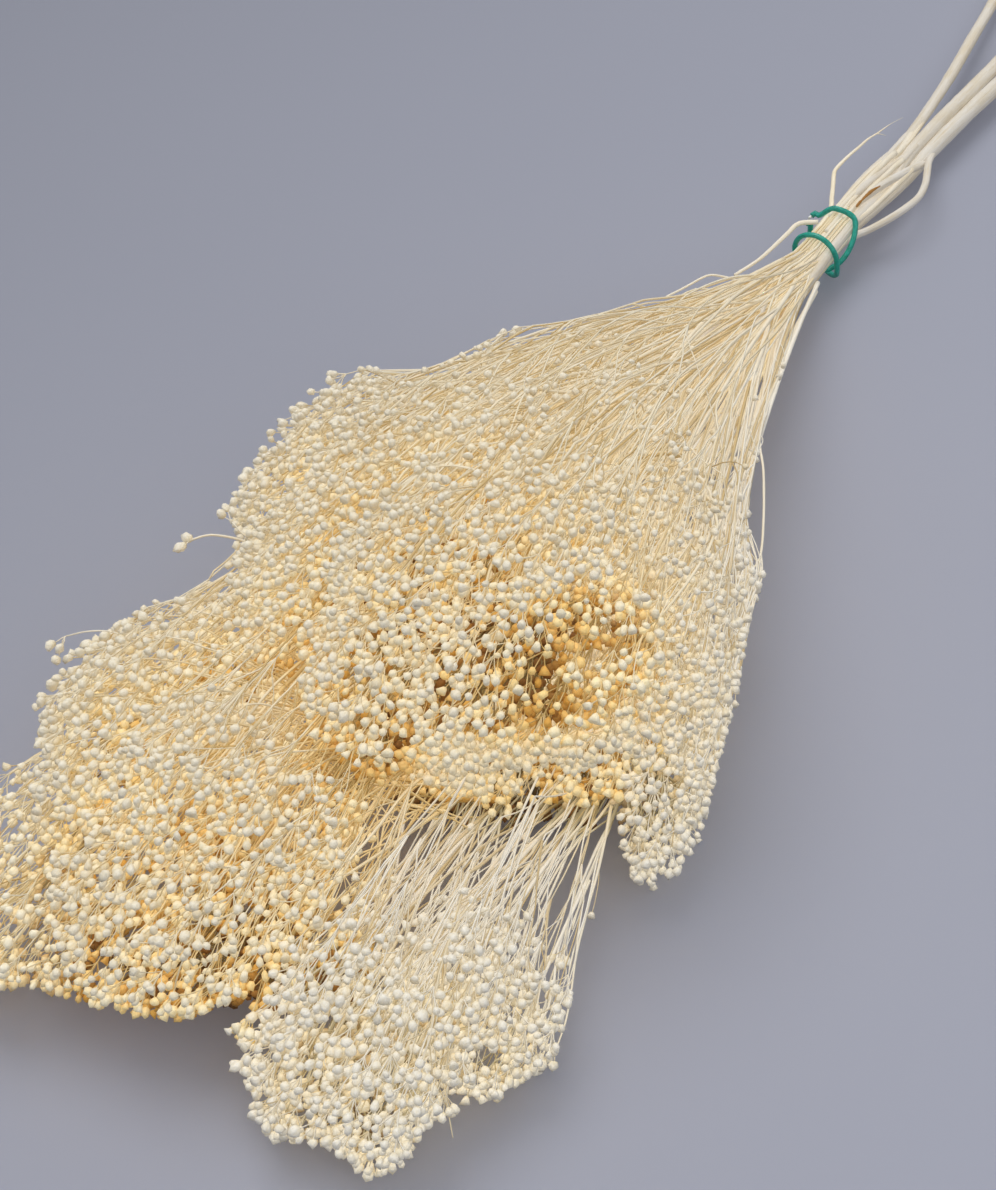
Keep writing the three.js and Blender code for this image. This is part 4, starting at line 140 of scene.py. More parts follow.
# Loose shoots that stand out of the mass: the spray, the way, the radius at its ends, and the buds at its end.
LOOSE = [
    ("left_spray_02", [(-169.7, 58.4, 44), (-173.4, 62.2, 50), (-177.8, 67.5, 53), (-180.6, 70.5, 53), (-182.5, 72.6, 52)], 0.42, 0.32, [(-185.8, 73.5, 52), (-182, 74, 52)], 1.25),
    ("left_spray_02", [(-169.9, 58, 46), (-173, 60.9, 52), (-172.1, 65.8, 54)], 0.24, 0.2, [(-168.6, 70.5, 54), (-171.9, 69.6, 55), (-170.3, 66.6, 56)], 1.0),
    ("middle_spray_02", [(-221, 56.7, 50), (-222.3, 62.1, 56), (-223.8, 66.5, 58), (-226.1, 73.4, 56), (-228, 78.7, 53)], 0.28, 0.2, [(-230.9, 82.3, 50), (-232.9, 79, 48), (-231.5, 78.1, 52)], 1.1),
    ("front_spray_03", [(-271.1, -65.7, 16), (-272.4, -68.5, 12), (-275.7, -72.2, 6)], 0.2, 0.17, [], 0),
    ("right_spray_01", [(-20.1, -26.1, 34), (-32.6, -28.8, 34), (-43.3, -32.1, 34), (-50.2, -35.6, 34), (-57.9, -40.7, 34), (-71.4, -48.1, 33), (-82.2, -53.4, 33), (-88.3, -55.7, 32)], 0.42, 0.38, [], 0),
    ("right_spray_01", [(-86.1, -54.9, 32), (-93, -58.9, 31), (-98.2, -60.4, 30), (-107.8, -63.1, 29), (-120.6, -67.4, 28)], 0.3, 0.2, [], 0),
    ("right_spray_01", [(-87.1, -55.4, 32), (-93.1, -55.8, 31), (-99.6, -56.7, 30), (-108.1, -58.5, 29), (-116.5, -61.5, 28)], 0.28, 0.2, [], 0),
    ("right_spray_01", [(-88.3, -55.7, 32), (-96.3, -58.7, 31), (-106.5, -61.3, 30), (-116.6, -64.1, 28)], 0.26, 0.2, [], 0),
    ("right_spray_01", [(-90.2, -57.1, 32), (-96.6, -59.5, 31), (-103.1, -61.1, 30), (-112.7, -63.7, 29), (-121.8, -66.8, 28)], 0.24, 0.2, [], 0),
    ("right_spray_01", [(-73.1, -41.4, 35), (-80.6, -44.6, 35), (-86.2, -48.7, 34), (-90.6, -52, 34), (-97.5, -55.1, 33), (-104.8, -57.4, 32)], 0.32, 0.25, [], 0),
    ("right_spray_01", [(-91.3, -49.9, 36), (-88.3, -49.2, 37)], 0.16, 0.14, [(-85.5, -48.9, 38), (-85.5, -50, 37)], 0.8),
    ("right_spray_01", [(30.5, -8.3, 22), (24.8, -10.7, 23), (19.9, -12.4, 24), (17.4, -12.2, 24)], 0.18, 0.12, [], 0),
    ("left_spray_01", [(68.2, 3, 22), (64.1, 8.1, 22), (57.7, 8.9, 22), (47.1, 9.2, 23), (36.5, 9.4, 25), (23.6, 11.3, 27)], 0.85, 0.5, [], 0),
    ("upper_spray_02", [(20.5, 9.3, 28), (18.7, 12.8, 29), (15.3, 15.6, 31), (12.3, 17.6, 31), (3.8, 19.6, 32), (-4.1, 21.8, 33)], 0.42, 0.36, [], 0),
    ("upper_spray_02", [(-36.7, 31, 44), (-49.1, 36.1, 48), (-56.3, 39.9, 50)], 0.3, 0.22, [(-59.7, 43.2, 51), (-61.3, 43.6, 50), (-62.5, 46.4, 50)], 0.95),
    ("upper_spray_01", [(-46.3, 35.9, 44), (-57.4, 39.9, 48), (-63, 42.9, 50)], 0.28, 0.2, [(-65, 46.2, 50), (-69, 44.4, 51)], 0.95),
    ("front_spray_06", [(-175.1, -58.5, 22), (-185.6, -62.2, 20), (-195.8, -65.9, 17), (-205.4, -68.6, 15), (-216.8, -72.4, 12), (-225.4, -76.1, 10), (-234, -79.2, 8), (-241.7, -80.9, 6)], 0.52, 0.24, [(-244, -80.3, 5), (-244.9, -82.1, 4), (-245.8, -79.6, 4)], 0.95),
    ("front_spray_06", [(-199.7, -65.7, 17), (-209.7, -67.5, 15), (-219.7, -69.1, 13), (-229.1, -71.2, 11), (-236.1, -74.3, 9)], 0.34, 0.22, [(-238.8, -74.8, 8), (-238.5, -76.3, 7)], 0.95),
    ("front_spray_06", [(-177.6, -59.3, 22), (-184.8, -58.7, 20), (-193.4, -57.4, 19), (-202.8, -57.3, 18), (-212.6, -58.4, 16)], 0.42, 0.28, [], 0),
    ("front_spray_06", [(-222.9, -74.9, 10), (-230.6, -75.4, 8), (-237.4, -76.9, 6), (-242.6, -78.3, 5)], 0.26, 0.2, [(-244.7, -78.1, 4), (-246.6, -77.2, 4), (-247.2, -79.4, 3)], 0.95),
    ("front_spray_06", [(-188.1, -63.1, 20), (-196.7, -64.6, 18), (-206.6, -66.8, 16), (-213.6, -68.7, 14)], 0.34, 0.24, [], 0),
    ("front_spray_04", [(-178.7, -56.3, 22), (-188.9, -55.7, 20), (-201.8, -54.2, 19), (-213, -52.6, 18), (-224.4, -53.6, 18)], 0.5, 0.3, [], 0),
    ("front_spray_04", [(-181, -51.5, 22), (-191, -50.1, 21), (-202.5, -47.3, 20), (-214.9, -45.3, 20), (-227, -46.2, 20)], 0.46, 0.28, [], 0),
    ("front_spray_04", [(-201.8, -54.2, 19), (-210.3, -55.8, 18), (-220, -59.3, 17), (-228.2, -62, 16)], 0.34, 0.24, [], 0),
    ("stem_right", [(122.3, -7.7, 13), (112.6, -7.5, 14), (100.2, -7.1, 15.5), (88, -6.7, 17), (77.2, -5, 17.6)], 1.05, 1.0, [], 0),
    ("stem_middle", [(125.4, 0.6, 15), (112.1, 0.7, 17), (98.9, 1, 18.2), (87.8, 1.4, 18.5), (77.4, 1.5, 18.6)], 1.05, 0.95, [], 0),
    ("stem_left", [(122.3, 3.1, 13), (108.9, 3.2, 15.5), (97, 3, 17.3), (86.1, 2.8, 18.2), (76.2, 2.8, 18.4)], 0.9, 0.8, [], 0),
    ("stem_middle", [(123.9, -3.3, 14.5), (111.5, -3.1, 16.8), (99.5, -2.5, 18), (87.6, -2.2, 18.4), (77.8, -1.7, 18.4)], 1.0, 0.95, [], 0),
    ("stem_left", [(171.1, 5, 8), (150.4, 3.3, 10), (128.4, 0.9, 13), (111.2, 0.8, 15), (97.9, 0.6, 16), (85.9, -0.2, 17), (75.2, -0.7, 18), (63.6, -0.4, 19)], 1.25, 1.15, [], 0),
    ("stem_left", [(155.9, 2.3, 10), (136.3, 0.6, 12), (116.1, 0.4, 15), (101.8, 0.4, 17), (90.3, 0.2, 18.2), (78.9, -0.3, 19.2), (67.2, -0.7, 20)], 0.8, 0.8, [], 0),
]
TIE_CENTRE = np.array([72.6, -0.5, 14.2])   # middle of the bundle inside the tie
BUNDLE = 6.3                                # how far strands may lie from it there
BUD_R, BUD_H = 1.36, 1.52                   # half width and half length of a bud
SEED = 4772
# outline of the flowering part as the camera sees it, laid on the plane z = 30, measured
OUTLINE = np.array([(49.1, 1), (44.2, 2.1), (35.7, 5.1), (26.9, 9.6), (20.8, 13.7), (11.7, 17.9), (2.3, 23.7), (-7.5,
                    29.2), (-19.6, 36.8), (-30, 45.4), (-38.3, 55.1), (-46.5, 59.2), (-56.2, 62.4), (-63.7, 64.9),
                    (-72.1, 70.5), (-77.3, 74.5), (-78.6, 79.2), (-78.8, 86.4), (-81.4, 92.2), (-86.8, 94.1), (-94.6,
                    95.4), (-101.3, 95.1), (-109.1, 93.3), (-118.5, 92.1), (-126.5, 91.1), (-134.2, 90.6), (-141.2,
                    88.4), (-149, 85.5), (-156.2, 81.7), (-161.4, 75), (-166.1, 72.9), (-173, 73.8), (-180, 72),
                    (-186.8, 75.7), (-193.3, 81.2), (-200.8, 84.1), (-205.2, 84.1), (-211.6, 86.1), (-218.9, 88.9),
                    (-226.6, 89.6), (-233.3, 88.3), (-238.9, 84.3), (-242.5, 78.2), (-246.9, 76.3), (-251.7, 79),
                    (-256.1, 82.2), (-264, 89.2), (-316.5, 43.4), (-310.3, 36.1), (-305.1, 27.8), (-303.5, 18.3),
                    (-301.2, 9.3), (-297.4, 0.1), (-293.4, -7.3), (-287.9, -10.8), (-282.1, -16.9), (-286, -21.3),
                    (-290.1, -19.9), (-294.9, -22.5), (-299.3, -28.1), (-301, -32.9), (-305.8, -37.5), (-308.1,
                    -44.6), (-305.6, -49.9), (-303.6, -57), (-303.4, -63), (-304.6, -67.3), (-301.9, -71.1), (-296,
                    -72.6), (-289.1, -71.6), (-283.8, -74.2), (-277.9, -78.8), (-272.6, -82.3), (-266.5, -84.1),
                    (-262.7, -87.2), (-257.6, -88.3), (-251.5, -86.8), (-243.5, -84), (-236.6, -81.9), (-227.2, -78),
                    (-218.3, -75.6), (-210.2, -74.4), (-199.9, -70.7), (-188.3, -65.7), (-182.1, -63.4), (-189.9,
                    -69.1), (-197.2, -75), (-202.2, -79.9), (-200.8, -84.9), (-194.1, -86.9), (-186.2, -86.9),
                    (-178.7, -85.8), (-169.9, -83), (-160.4, -79.7), (-148.7, -76.3), (-136.6, -72.9), (-123.2,
                    -67.7), (-109.3, -62.5), (-98.5, -60), (-92.4, -58.1), (-88.2, -54.6), (-87.8, -50.9), (-82.7,
                    -47.2), (-75.5, -43.7), (-66.2, -40.1), (-54.4, -35.6), (-39.4, -30.4), (-21.8, -25.4), (-8,
                    -21.7), (2.3, -18.9), (15.1, -14.2), (24, -12.8), (33.9, -12.9), (42.2, -13)])

rng = np.random.default_rng(SEED)


def dim(p, h):
    """Share of the light left to p in sprays h: the far clump lies behind, the foot of the middle one in shade."""
    low = 0.31 + 0.69 * smooth(p[:, 2], 6.0, 42.0)
    below = np.where(p[:, 2] < 27, 0.16 + 0.84 * footing(p), 1.0)
    return np.where(IS_FAR[h], 0.40, np.where(IN_MIDDLE[h], low, np.where(IS_UPPER[h], 0.92 + 0.08 * smooth(p[:, 2], 18.0, 46.0), below)))


def unit(v):
    return v / (np.linalg.norm(v, axis=-1, keepdims=True) + 1e-12)


def smooth(x, a, b):
    t = np.clip((x - a) / (b - a), 0.0, 1.0)
    return t * t * (3 - 2 * t)


# ---- mesh kit --------------------------------------------------------------------
class Piece:
    """Collects faces in mm; corners carry tone (random, light, along, kind) and fibre (cos, sin, length, 0)."""

    def __init__(self):
        self.v, self.q, self.t, self.qm, self.tm, self.tone, self.fib = [], [], [], [], [], [], []
        self.n = 0

    def add(self, verts, quads, tris, tone, fib, mat):
        if len(verts) == 0:
            return
        if len(quads):
            self.q.append(quads + self.n)
            self.qm.append(np.full(len(quads), mat))
        if len(tris):
            self.t.append(tris + self.n)
            self.tm.append(np.full(len(tris), mat))
        self.v.append(verts)
        self.tone.append(tone)
        self.fib.append(fib)
        self.n += len(verts)

    def faces(self):
        return sum(len(a) * 2 for a in self.q) + sum(len(a) for a in self.t)

    def build(self, name, mats):
        v = np.concatenate(self.v) / 1000.0
        q = np.concatenate(self.q) if self.q else np.zeros((0, 4), int)
        t = np.concatenate(self.t) if self.t else np.zeros((0, 3), int)
        mi = np.concatenate([np.concatenate(self.qm) if self.qm else np.zeros(0, int),
                             np.concatenate(self.tm) if self.tm else np.zeros(0, int)])
        me = bpy.data.meshes.new(name)
        me.vertices.add(len(v))
        me.vertices.foreach_set("co", v.astype(np.float32).ravel())
        loops = np.concatenate([q.ravel(), t.ravel()]).astype(np.int32)
        me.loops.add(len(loops))
        me.loops.foreach_set("vertex_index", loops)
        start = np.concatenate([np.arange(len(q)) * 4, len(q) * 4 + np.arange(len(t)) * 3]).astype(np.int32)
        me.polygons.add(len(start))
        me.polygons.foreach_set("loop_start", start)
        for m in mats:
            me.materials.append(m)
        me.polygons.foreach_set("material_index", mi.astype(np.int32))
        me.polygons.foreach_set("use_smooth", np.ones(len(start), bool))
        for label, data in (("tone", self.tone), ("fibre", self.fib)):
            a = me.attributes.new(label, "FLOAT_COLOR", "POINT")
            a.data.foreach_set("color", np.concatenate(data).astype(np.float32).ravel())
        me.update(calc_edges=True)
        me.validate(clean_customdata=False)
        ob = bpy.data.objects.new(name, me)
        scene.collection.objects.link(ob)
        return ob


def tubes(paths, radii, sides, tone, caps=(True, True), knobs=0.0, oval=0.0):
    """Tubes of one station count. paths (N,m,3), radii (N,m), tone (N,m,4). Returns verts, quads, tris, tone, fibre."""
    paths = np.asarray(paths, float)
    radii = np.asarray(radii, float)
    n, m, _ = paths.shape
    t = np.empty_like(paths)
    t[:, 1:-1] = paths[:, 2:] - paths[:, :-2]
    t[:, 0] = paths[:, 1] - paths[:, 0]
    t[:, -1] = paths[:, -1] - paths[:, -2]
    t = unit(t)
    ref = np.where(np.abs(t[:, 0, 2:3]) < 0.9, np.array([[0.0, 0, 1]]), np.array([[1.0, 0, 0]]))
    nrm = np.empty_like(paths)
    nrm[:, 0] = unit(np.cross(t[:, 0], ref))
    for i in range(1, m):
        p = nrm[:, i - 1]
        nrm[:, i] = unit(p - t[:, i] * (p * t[:, i]).sum(-1, keepdims=True))
    bi = np.cross(t, nrm)
    ang = np.arange(sides) * 2 * math.pi / sides
    spin = rng.random(n)[:, None, None] * 2 * math.pi
    a = ang[None, None, :] + spin
    r = radii[:, :, None] * np.ones(sides)
    if oval:
        r = r * (1 + oval * np.cos(2 * a + rng.random(n)[:, None, None] * 6.28))
    if knobs:
        r = r * (1 + knobs * rng.normal(size=(n, m, 1)) + 0.5 * knobs * rng.normal(size=(n, m, sides)))
    ring = paths[:, :, None, :] + r[..., None] * (np.cos(a)[..., None] * nrm[:, :, None, :]
                                                 + np.sin(a)[..., None] * bi[:, :, None, :])
    verts = ring.reshape(-1, 3)
    seg = np.linalg.norm(np.diff(paths, axis=1), axis=-1)
    along = np.concatenate([np.zeros((n, 1)), np.cumsum(seg, axis=1)], axis=1) + rng.random((n, 1)) * 400
    fib = np.stack(np.broadcast_arrays(np.cos(a) * np.maximum(radii[:, :, None], 0.01),
                                       np.sin(a) * np.maximum(radii[:, :, None], 0.01),
                                       along[:, :, None], np.ones(1)), axis=-1)
    base = (np.arange(n) * m * sides)[:, None, None]
    i = (np.arange(m - 1) * sides)[None, :, None]
    k = np.arange(sides)[None, None, :]
    k2 = (np.arange(sides) + 1)[None, None, :] % sides
    quads = np.stack([base + i + k, base + i + k2, base + i + sides + k2, base + i + sides + k], axis=-1).reshape(-1, 4)
    tris = []
    if sides >= 3:
        f = np.arange(1, sides - 1)[None, :]
        b = (np.arange(n) * m * sides)[:, None]
        if caps[0]:
            tris.append(np.stack(np.broadcast_arrays(b, b + f + 1, b + f), axis=-1).reshape(-1, 3))
        if caps[1]:
            e = b + (m - 1) * sides
            tris.append(np.stack(np.broadcast_arrays(e, e + f, e + f + 1), axis=-1).reshape(-1, 3))
    tris = np.concatenate(tris) if tris else np.zeros((0, 3), int)
    tone = np.repeat(np.asarray(tone, float)[:, :, None, :], sides, axis=2).reshape(-1, 4)
    return verts, quads, tris, tone, fib.reshape(-1, 4)


PROFILES = [  # (height, width) of the rings from base to tip; the two ends are points
    (-1.00, [(-0.74, 0.62), (-0.12, 1.00), (0.50, 0.76)], 1.10),
    (-1.00, [(-0.70, 0.66), (0.02, 1.00), (0.60, 0.70)], 0.98),
    (-1.00, [(-0.72, 0.52), (0.10, 0.98), (0.66, 0.74)], 0.90),
    (-1.05, [(-0.70, 0.50), (-0.02, 0.92), (0.56, 0.66)], 1.18),
    (-1.00, [(-0.66, 0.44), (0.18, 0.90), (0.74, 0.92)], 0.72),
    (-0.95, [(-0.78, 0.60), (-0.20, 0.88), (0.46, 0.80)], 1.00),
]


def buds(centre, axis, size, sides, tone, kind, pick=(0, 1, 2)):
    """Round papery buds. centre, axis (N,3); size (N,); tone (N,4)."""
    n = len(centre)
    rings = len(pick)
    ref = np.where(np.abs(axis[:, 2:3]) < 0.85, np.array([[0.0, 0, 1]]), np.array([[1.0, 0, 0]]))
    u = unit(np.cross(axis, ref))
    w = np.cross(axis, u)
    spin = rng.random(n) * 2 * math.pi
    per = 2 + rings * sides
    h = np.empty((n, per))
    x = np.zeros((n, per))
    y = np.zeros((n, per))
    base = np.array([p[0] for p in PROFILES])[kind]
    tip = np.array([p[2] for p in PROFILES])[kind]
    hr = np.array([[r[0] for r in p[1]] for p in PROFILES])[kind][:, pick]
    wr = np.array([[r[1] for r in p[1]] for p in PROFILES])[kind][:, pick]
    if rings == 2:
        hr = hr * np.array([0.72, 0.86])
        wr = wr * np.array([1.28, 1.16])
    stretch = 1 + rng.normal(size=n) * 0.07
    h[:, 0] = base * BUD_H * stretch
    h[:, 1] = tip * BUD_H * stretch
    flat = 1 + rng.normal(size=n) * 0.09
    for i in range(rings):
        a = (np.arange(sides) + 0.5 * (i % 2)) * 2 * math.pi / sides
        s = slice(2 + i * sides, 2 + (i + 1) * sides)
        rag = 1 + rng.normal(size=(n, sides)) * 0.12
        h[:, s] = (hr[:, i] * BUD_H * stretch)[:, None] + rng.normal(size=(n, sides)) * 0.13
        r = (wr[:, i] * BUD_R)[:, None] * rag
        ca = np.cos(a[None, :] + spin[:, None])
        sa = np.sin(a[None, :] + spin[:, None])
        x[:, s] = r * ca * flat[:, None]
        y[:, s] = r * sa / flat[:, None]
    v = centre[:, None, :] + size[:, None, None] * (x[..., None] * u[:, None, :] + y[..., None] * w[:, None, :]
                                                  + h[..., None] * axis[:, None, :])
    tri = []
    k = np.arange(sides)
    k2 = (k + 1) % sides
    first = 2
    tri.append(np.stack([np.zeros(sides, int), first + k2, first + k], axis=-1))
    for i in range(rings - 1):
        lo = 2 + i * sides
        up = lo + sides
        if i % 2 == 0:   # the upper ring sits half a step on
            tri.append(np.stack([lo + k, lo + k2, up + k], axis=-1))
            tri.append(np.stack([lo + k2, up + k2, up + k], axis=-1))
        else:
            tri.append(np.stack([lo + k, up + k2, up + k], axis=-1))
            tri.append(np.stack([lo + k, lo + k2, up + k2], axis=-1))
    last = 2 + (rings - 1) * sides
    tri.append(np.stack([last + k, last + k2, np.ones(sides, int)], axis=-1))
    tri = np.concatenate(tri)
    tris = (tri[None] + (np.arange(n) * per)[:, None, None]).reshape(-1, 3)
    tn = np.repeat(tone[:, None, :], per, axis=1)
    hh = h / (BUD_H * 1.2)
    tn[..., 2] = 0.5 + 0.5 * hh
    lx = np.stack([x, y, h + (rng.random(n) * 300)[:, None], np.ones_like(x)], axis=-1)
    return v.reshape(-1, 3), np.zeros((0, 4), int), tris, tn.reshape(-1, 4), lx.reshape(-1, 4)


def hermite(p0, t0, p1, t1, m):
    """Curves (N,m,3) from p0 along t0 to p1 along t1."""
    u = np.linspace(0, 1, m)[None, :, None]
    p0, t0, p1, t1 = (a[:, None, :] for a in (p0, t0, p1, t1))
    return ((2 * u**3 - 3 * u**2 + 1) * p0 + (u**3 - 2 * u**2 + u) * t0
            + (-2 * u**3 + 3 * u**2) * p1 + (u**3 - u**2) * t1)


def wavy(paths, amount, held=0.15):
    """Adds a slow waver that fades at the ends."""
    n, m, _ = paths.shape
    u = np.linspace(0, 1, m)[None, :, None]
    amount = amount * (0.45 + 1.3 * rng.random((n, 1, 1)) ** 2)
    length = np.linalg.norm(paths[:, -1] - paths[:, 0], axis=-1)[:, None, None]
    fade = np.minimum(1, np.minimum(u, 1 - u) / held) if held else 1
    out = paths.copy()
    for cycles, share in ((1.0, 1.0), (2.3, 0.45)):
        amp = rng.normal(size=(n, 1, 3)) * amount * share * np.clip(length / 60.0, 0.15, 1.6)
        ph = rng.random((n, 1, 3)) * 2 * math.pi
        out += amp * np.sin(2 * math.pi * cycles * u * (0.7 + 0.6 * rng.random((n, 1, 1))) + ph) * fade
    return out


def spline(points, step):
    """Catmull-Rom through rows (x, y, z, r...), resampled evenly."""
    p = np.asarray(points, float)
    e = np.vstack([2 * p[0] - p[1], p, 2 * p[-1] - p[-2]])
    rows = []
    for i in range(1, len(e) - 2):
        n = 12
        u = np.linspace(0, 1, n, endpoint=(i == len(e) - 3))[:, None]
        a, b, c, d = e[i - 1], e[i], e[i + 1], e[i + 2]
        rows.append(0.5 * ((2 * b) + (-a + c) * u + (2 * a - 5 * b + 4 * c - d) * u**2 + (-a + 3 * b - 3 * c + d) * u**3))
    q = np.vstack(rows)
    s = np.concatenate([[0], np.cumsum(np.linalg.norm(np.diff(q[:, :3], axis=0), axis=1))])
    n = max(3, int(math.ceil(s[-1] / step)) + 1)
    g = np.linspace(0, s[-1], n)
    return np.stack([np.interp(g, s, q[:, k]) for k in range(q.shape[1])], axis=1)


# ---- light reaching a point, from how much plant lies around it ---------------------
CELL = 3.0
LOW = np.array([-345.0, -120.0, -6.0])
SHAPE = (232, 82, 44)
mass = np.zeros(SHAPE)


def deposit(points, amount):
    c = ((points - LOW) / CELL).astype(int)
    ok = ((c >= 0) & (c < np.array(SHAPE))).all(-1)
    np.add.at(mass, tuple(c[ok].T), (np.zeros(len(points)) + amount)[ok])


def soften(grid):
    for axis in range(3):
        grid = 0.25 * np.roll(grid, 1, axis) + 0.5 * grid + 0.25 * np.roll(grid, -1, axis)
    return grid


def openness(points, reach=11, k=0.085):
    """0 deep inside, 1 in the open, over directions weighted upward."""
    dirs, wts = [], []
    for el, n, w in ((80, 1, 1.2), (50, 5, 1.0), (18, 7, 0.7), (-25, 5, 0.25)):
        for i in range(n):
            a = 2 * math.pi * (i + 0.37 * el) / n
            dirs.append((math.cos(a) * math.cos(math.radians(el)), math.sin(a) * math.cos(math.radians(el)), math.sin(math.radians(el))))
            wts.append(w)
    total = np.zeros(len(points))
    wts = [w * (1 + 0.75 * (0.35 * d[0] + 0.75 * d[1])) for d, w in zip(dirs, wts)]   # most light comes from behind
    for d, w in zip(np.array(dirs), wts):
        thick = np.zeros(len(points))
        for s in range(1, reach):
            q = points + d * (s * CELL * 1.05)
            c = ((q - LOW) / CELL).astype(int)
            ok = ((c >= 0) & (c < np.array(SHAPE))).all(-1)
            c = np.where(ok[:, None], c, 0)
            thick += np.where(ok, mass[tuple(c.T)], 0.0)
            if d[2] < 0:
                thick += np.where(q[:, 2] < 0, 8.0, 0.0)
        total += w * np.exp(-k * thick)
    found = np.clip((total / sum(wts) - 0.13) / 0.67, 0.0, 1.0)
    for hx, hy, hz, hr in HOLLOWS:   # hollows hold the light less
        found *= 1 - 0.45 * (1 - smooth(np.linalg.norm(points - (hx, hy, hz), axis=1), 0.75 * hr, 1.5 * hr))
    return np.maximum(found, 0.010)


def glow(found, p, h):
    """Light that passes through the outermost layer of the sprays h, added to what was found at p."""
    low, high, most = GLOW[h].T
    add = most * smooth(p[:, 2], low, high) * (1 - smooth(depth(p), 5.0, 11.0))
    for hx, hy, hz, hr in HOLLOWS:
        add *= 1 - 0.80 * (1 - smooth(np.linalg.norm(p - (hx, hy, hz), axis=1), 0.75 * hr, 1.5 * hr))
    return np.maximum(found, add)


# ---- keeping within the measured outline ----------------------------------------------------
LEFT_EDGE = np.array([(-236.5, 87), (-302.3, 23.3)])   # on the same plane: the middle clump stays to the right of this line
EYE = np.array([-496.78, -223.24, 500.0])
EDGE_A, EDGE_B = OUTLINE, np.roll(OUTLINE, -1, axis=0)


def keep_inside(points, slack):
    """Moves points (..., 3) sideways until, as the camera sees them, none is further than the slack outside the outline."""
    shape = points.shape
    p = points.reshape(-1, 3).copy()
    k = (EYE[2] - p[:, 2]) / (EYE[2] - 30.0)
    q = EYE[:2] + (p[:, :2] - EYE[:2]) / k[:, None]
    inside = np.zeros(len(q), bool)
    best = np.full(len(q), 1e18)
    near = q.copy()
    for a, b in zip(EDGE_A, EDGE_B):
        cross = (a[1] > q[:, 1]) != (b[1] > q[:, 1])
        x = a[0] + (q[:, 1] - a[1]) * (b[0] - a[0]) / (b[1] - a[1] + 1e-12)
        inside ^= cross & (q[:, 0] < x)
        t = np.clip(((q - a) @ (b - a)) / ((b - a) @ (b - a)), 0, 1)
        c = a + t[:, None] * (b - a)
        d = ((q - c) ** 2).sum(1)
        m = d < best
        best[m] = d[m]
        near[m] = c[m]
    dist = np.where(inside, -1.0, 1.0) * np.sqrt(best)
    slack = np.broadcast_to(slack, dist.shape)
    m = (dist > slack) & (np.abs(dist) > 1e-6) & (p[:, 0] < 56.0)
    pull = (near[m] - q[m]) * (1 - slack[m] / dist[m])[:, None]
    p[m, :2] += pull * k[m][:, None]
    return p.reshape(shape)


# the foot of the overhang, on the ground plan, where little light gets in
FOOT = np.array([(-198.3, -7.1), (-196.1, -16.9), (-190.1, -29.1), (-184.7, -41.5), (-177.0, -52.6), (-167.5, -60.1)])


def footing(p):
    """0 right under the edge of the overhang, 1 away from it."""
    q = p[:, :2]
    best = np.full(len(q), 1e9)
    for a, b in zip(FOOT[:-1], FOOT[1:]):
        t = np.clip(((q - a) @ (b - a)) / ((b - a) @ (b - a)), 0, 1)
        best = np.minimum(best, np.linalg.norm(q - a - t[:, None] * (b - a), axis=1))
    return smooth(best, 6.0, 18.0)


# ---- growing ----------------------------------------------------------------------------
NAMES = list(SPRAYS)
S_LIMB = [SPRAYS[n][0] for n in NAMES]
S_P = np.array([SPRAYS[n][1] for n in NAMES], float)
S_D = unit(np.array([SPRAYS[n][2] for n in NAMES], float))
S_SIZE = np.array([SPRAYS[n][3] for n in NAMES], float)
az = np.arctan2(S_D[:, 1], S_D[:, 0])
S_L = np.stack([-np.sin(az), np.cos(az), np.zeros(len(az))], axis=1)
S_W = np.cross(S_D, S_L)
MEAN = S_SIZE.prod(1) ** (1 / 3)
CLUMP = [n.split("_")[0] for n in NAMES]
# by clump: size of the buds, gap between flower clusters in mm, warmth of the colour, gap between strands on top
KIND = {"upper": (0.84, 4.45, 1.0, 3.1), "left": (0.86, 4.7, 0.70, 3.0), "middle": (0.90, 4.6, 1.0, 3.6),
        "far": (0.92, 5.3, 0.50, 3.5), "front": (0.91, 4.7, 0.15, 5.2), "right": (0.90, 5.2, 0.10, 1.8),
        "under": (0.90, 7.8, 1.0, 99.0)}
# how strands run on top of each clump: depth in mm where they meet it, depth where they end, share that starts at the limb
LAY = {"upper": (0.6, 4.6, 0.50), "left": (3.0, 4.5, 0.20), "middle": (2.2, 5.5, 0.40), "far": (2.0, 4.0, 0.4),
       "front": (0.3, 4.6, 0.0), "right": (1.2, 2.0, 0.35)}
# how closely strands keep to their branch before they spread
HUG = {"upper": 0.15, "left": 0.62, "middle": 0.0, "far": 0.1, "front": 0.5, "right": 0.55, "under": 0.1}
# hollows in the outside of the mass, which sink it and are painted in shade: centre and radius
HOLLOWS = [(-182.0, -51.8, 78.0, 16), (-196.5, -42.0, 72.0, 12), (-180.8, -40.9, 84.0, 10), (-165.7, -51.8, 76.0, 11), (-204.2, -4.0, 68.0, 9), (-206.3, 18.5, 56.0, 9), (-205.9, -18.9, 58.0, 10), (-205.6, -11.0, 46.0, 10), (-189.9, -49.5, 70.0, 9), (-213.9, -2.0, 50.0, 15), (-228.6, -5.8, 46.0, 10)]
# where the strands of the middle clump come out from under the upper mass
MOUTH, MOUTH_SIZE = np.array([-190.5, -11.7, 26.0]), (9.0, 9.0, 4.0)


def hug(ways, line, amount):
    """Pulls the middle of ways (N,m,3) towards a line."""
    if amount <= 0:
        return ways
    mid = ways[:, ways.shape[1] // 2]
    near = line[((mid[:, None, :] - line[None, :, :3]) ** 2).sum(-1).argmin(1)][:, :3]
    u = np.linspace(0, 1, ways.shape[1])[None, :, None]
    return ways + amount * 4 * u * (1 - u) * (near - mid)[:, None, :]

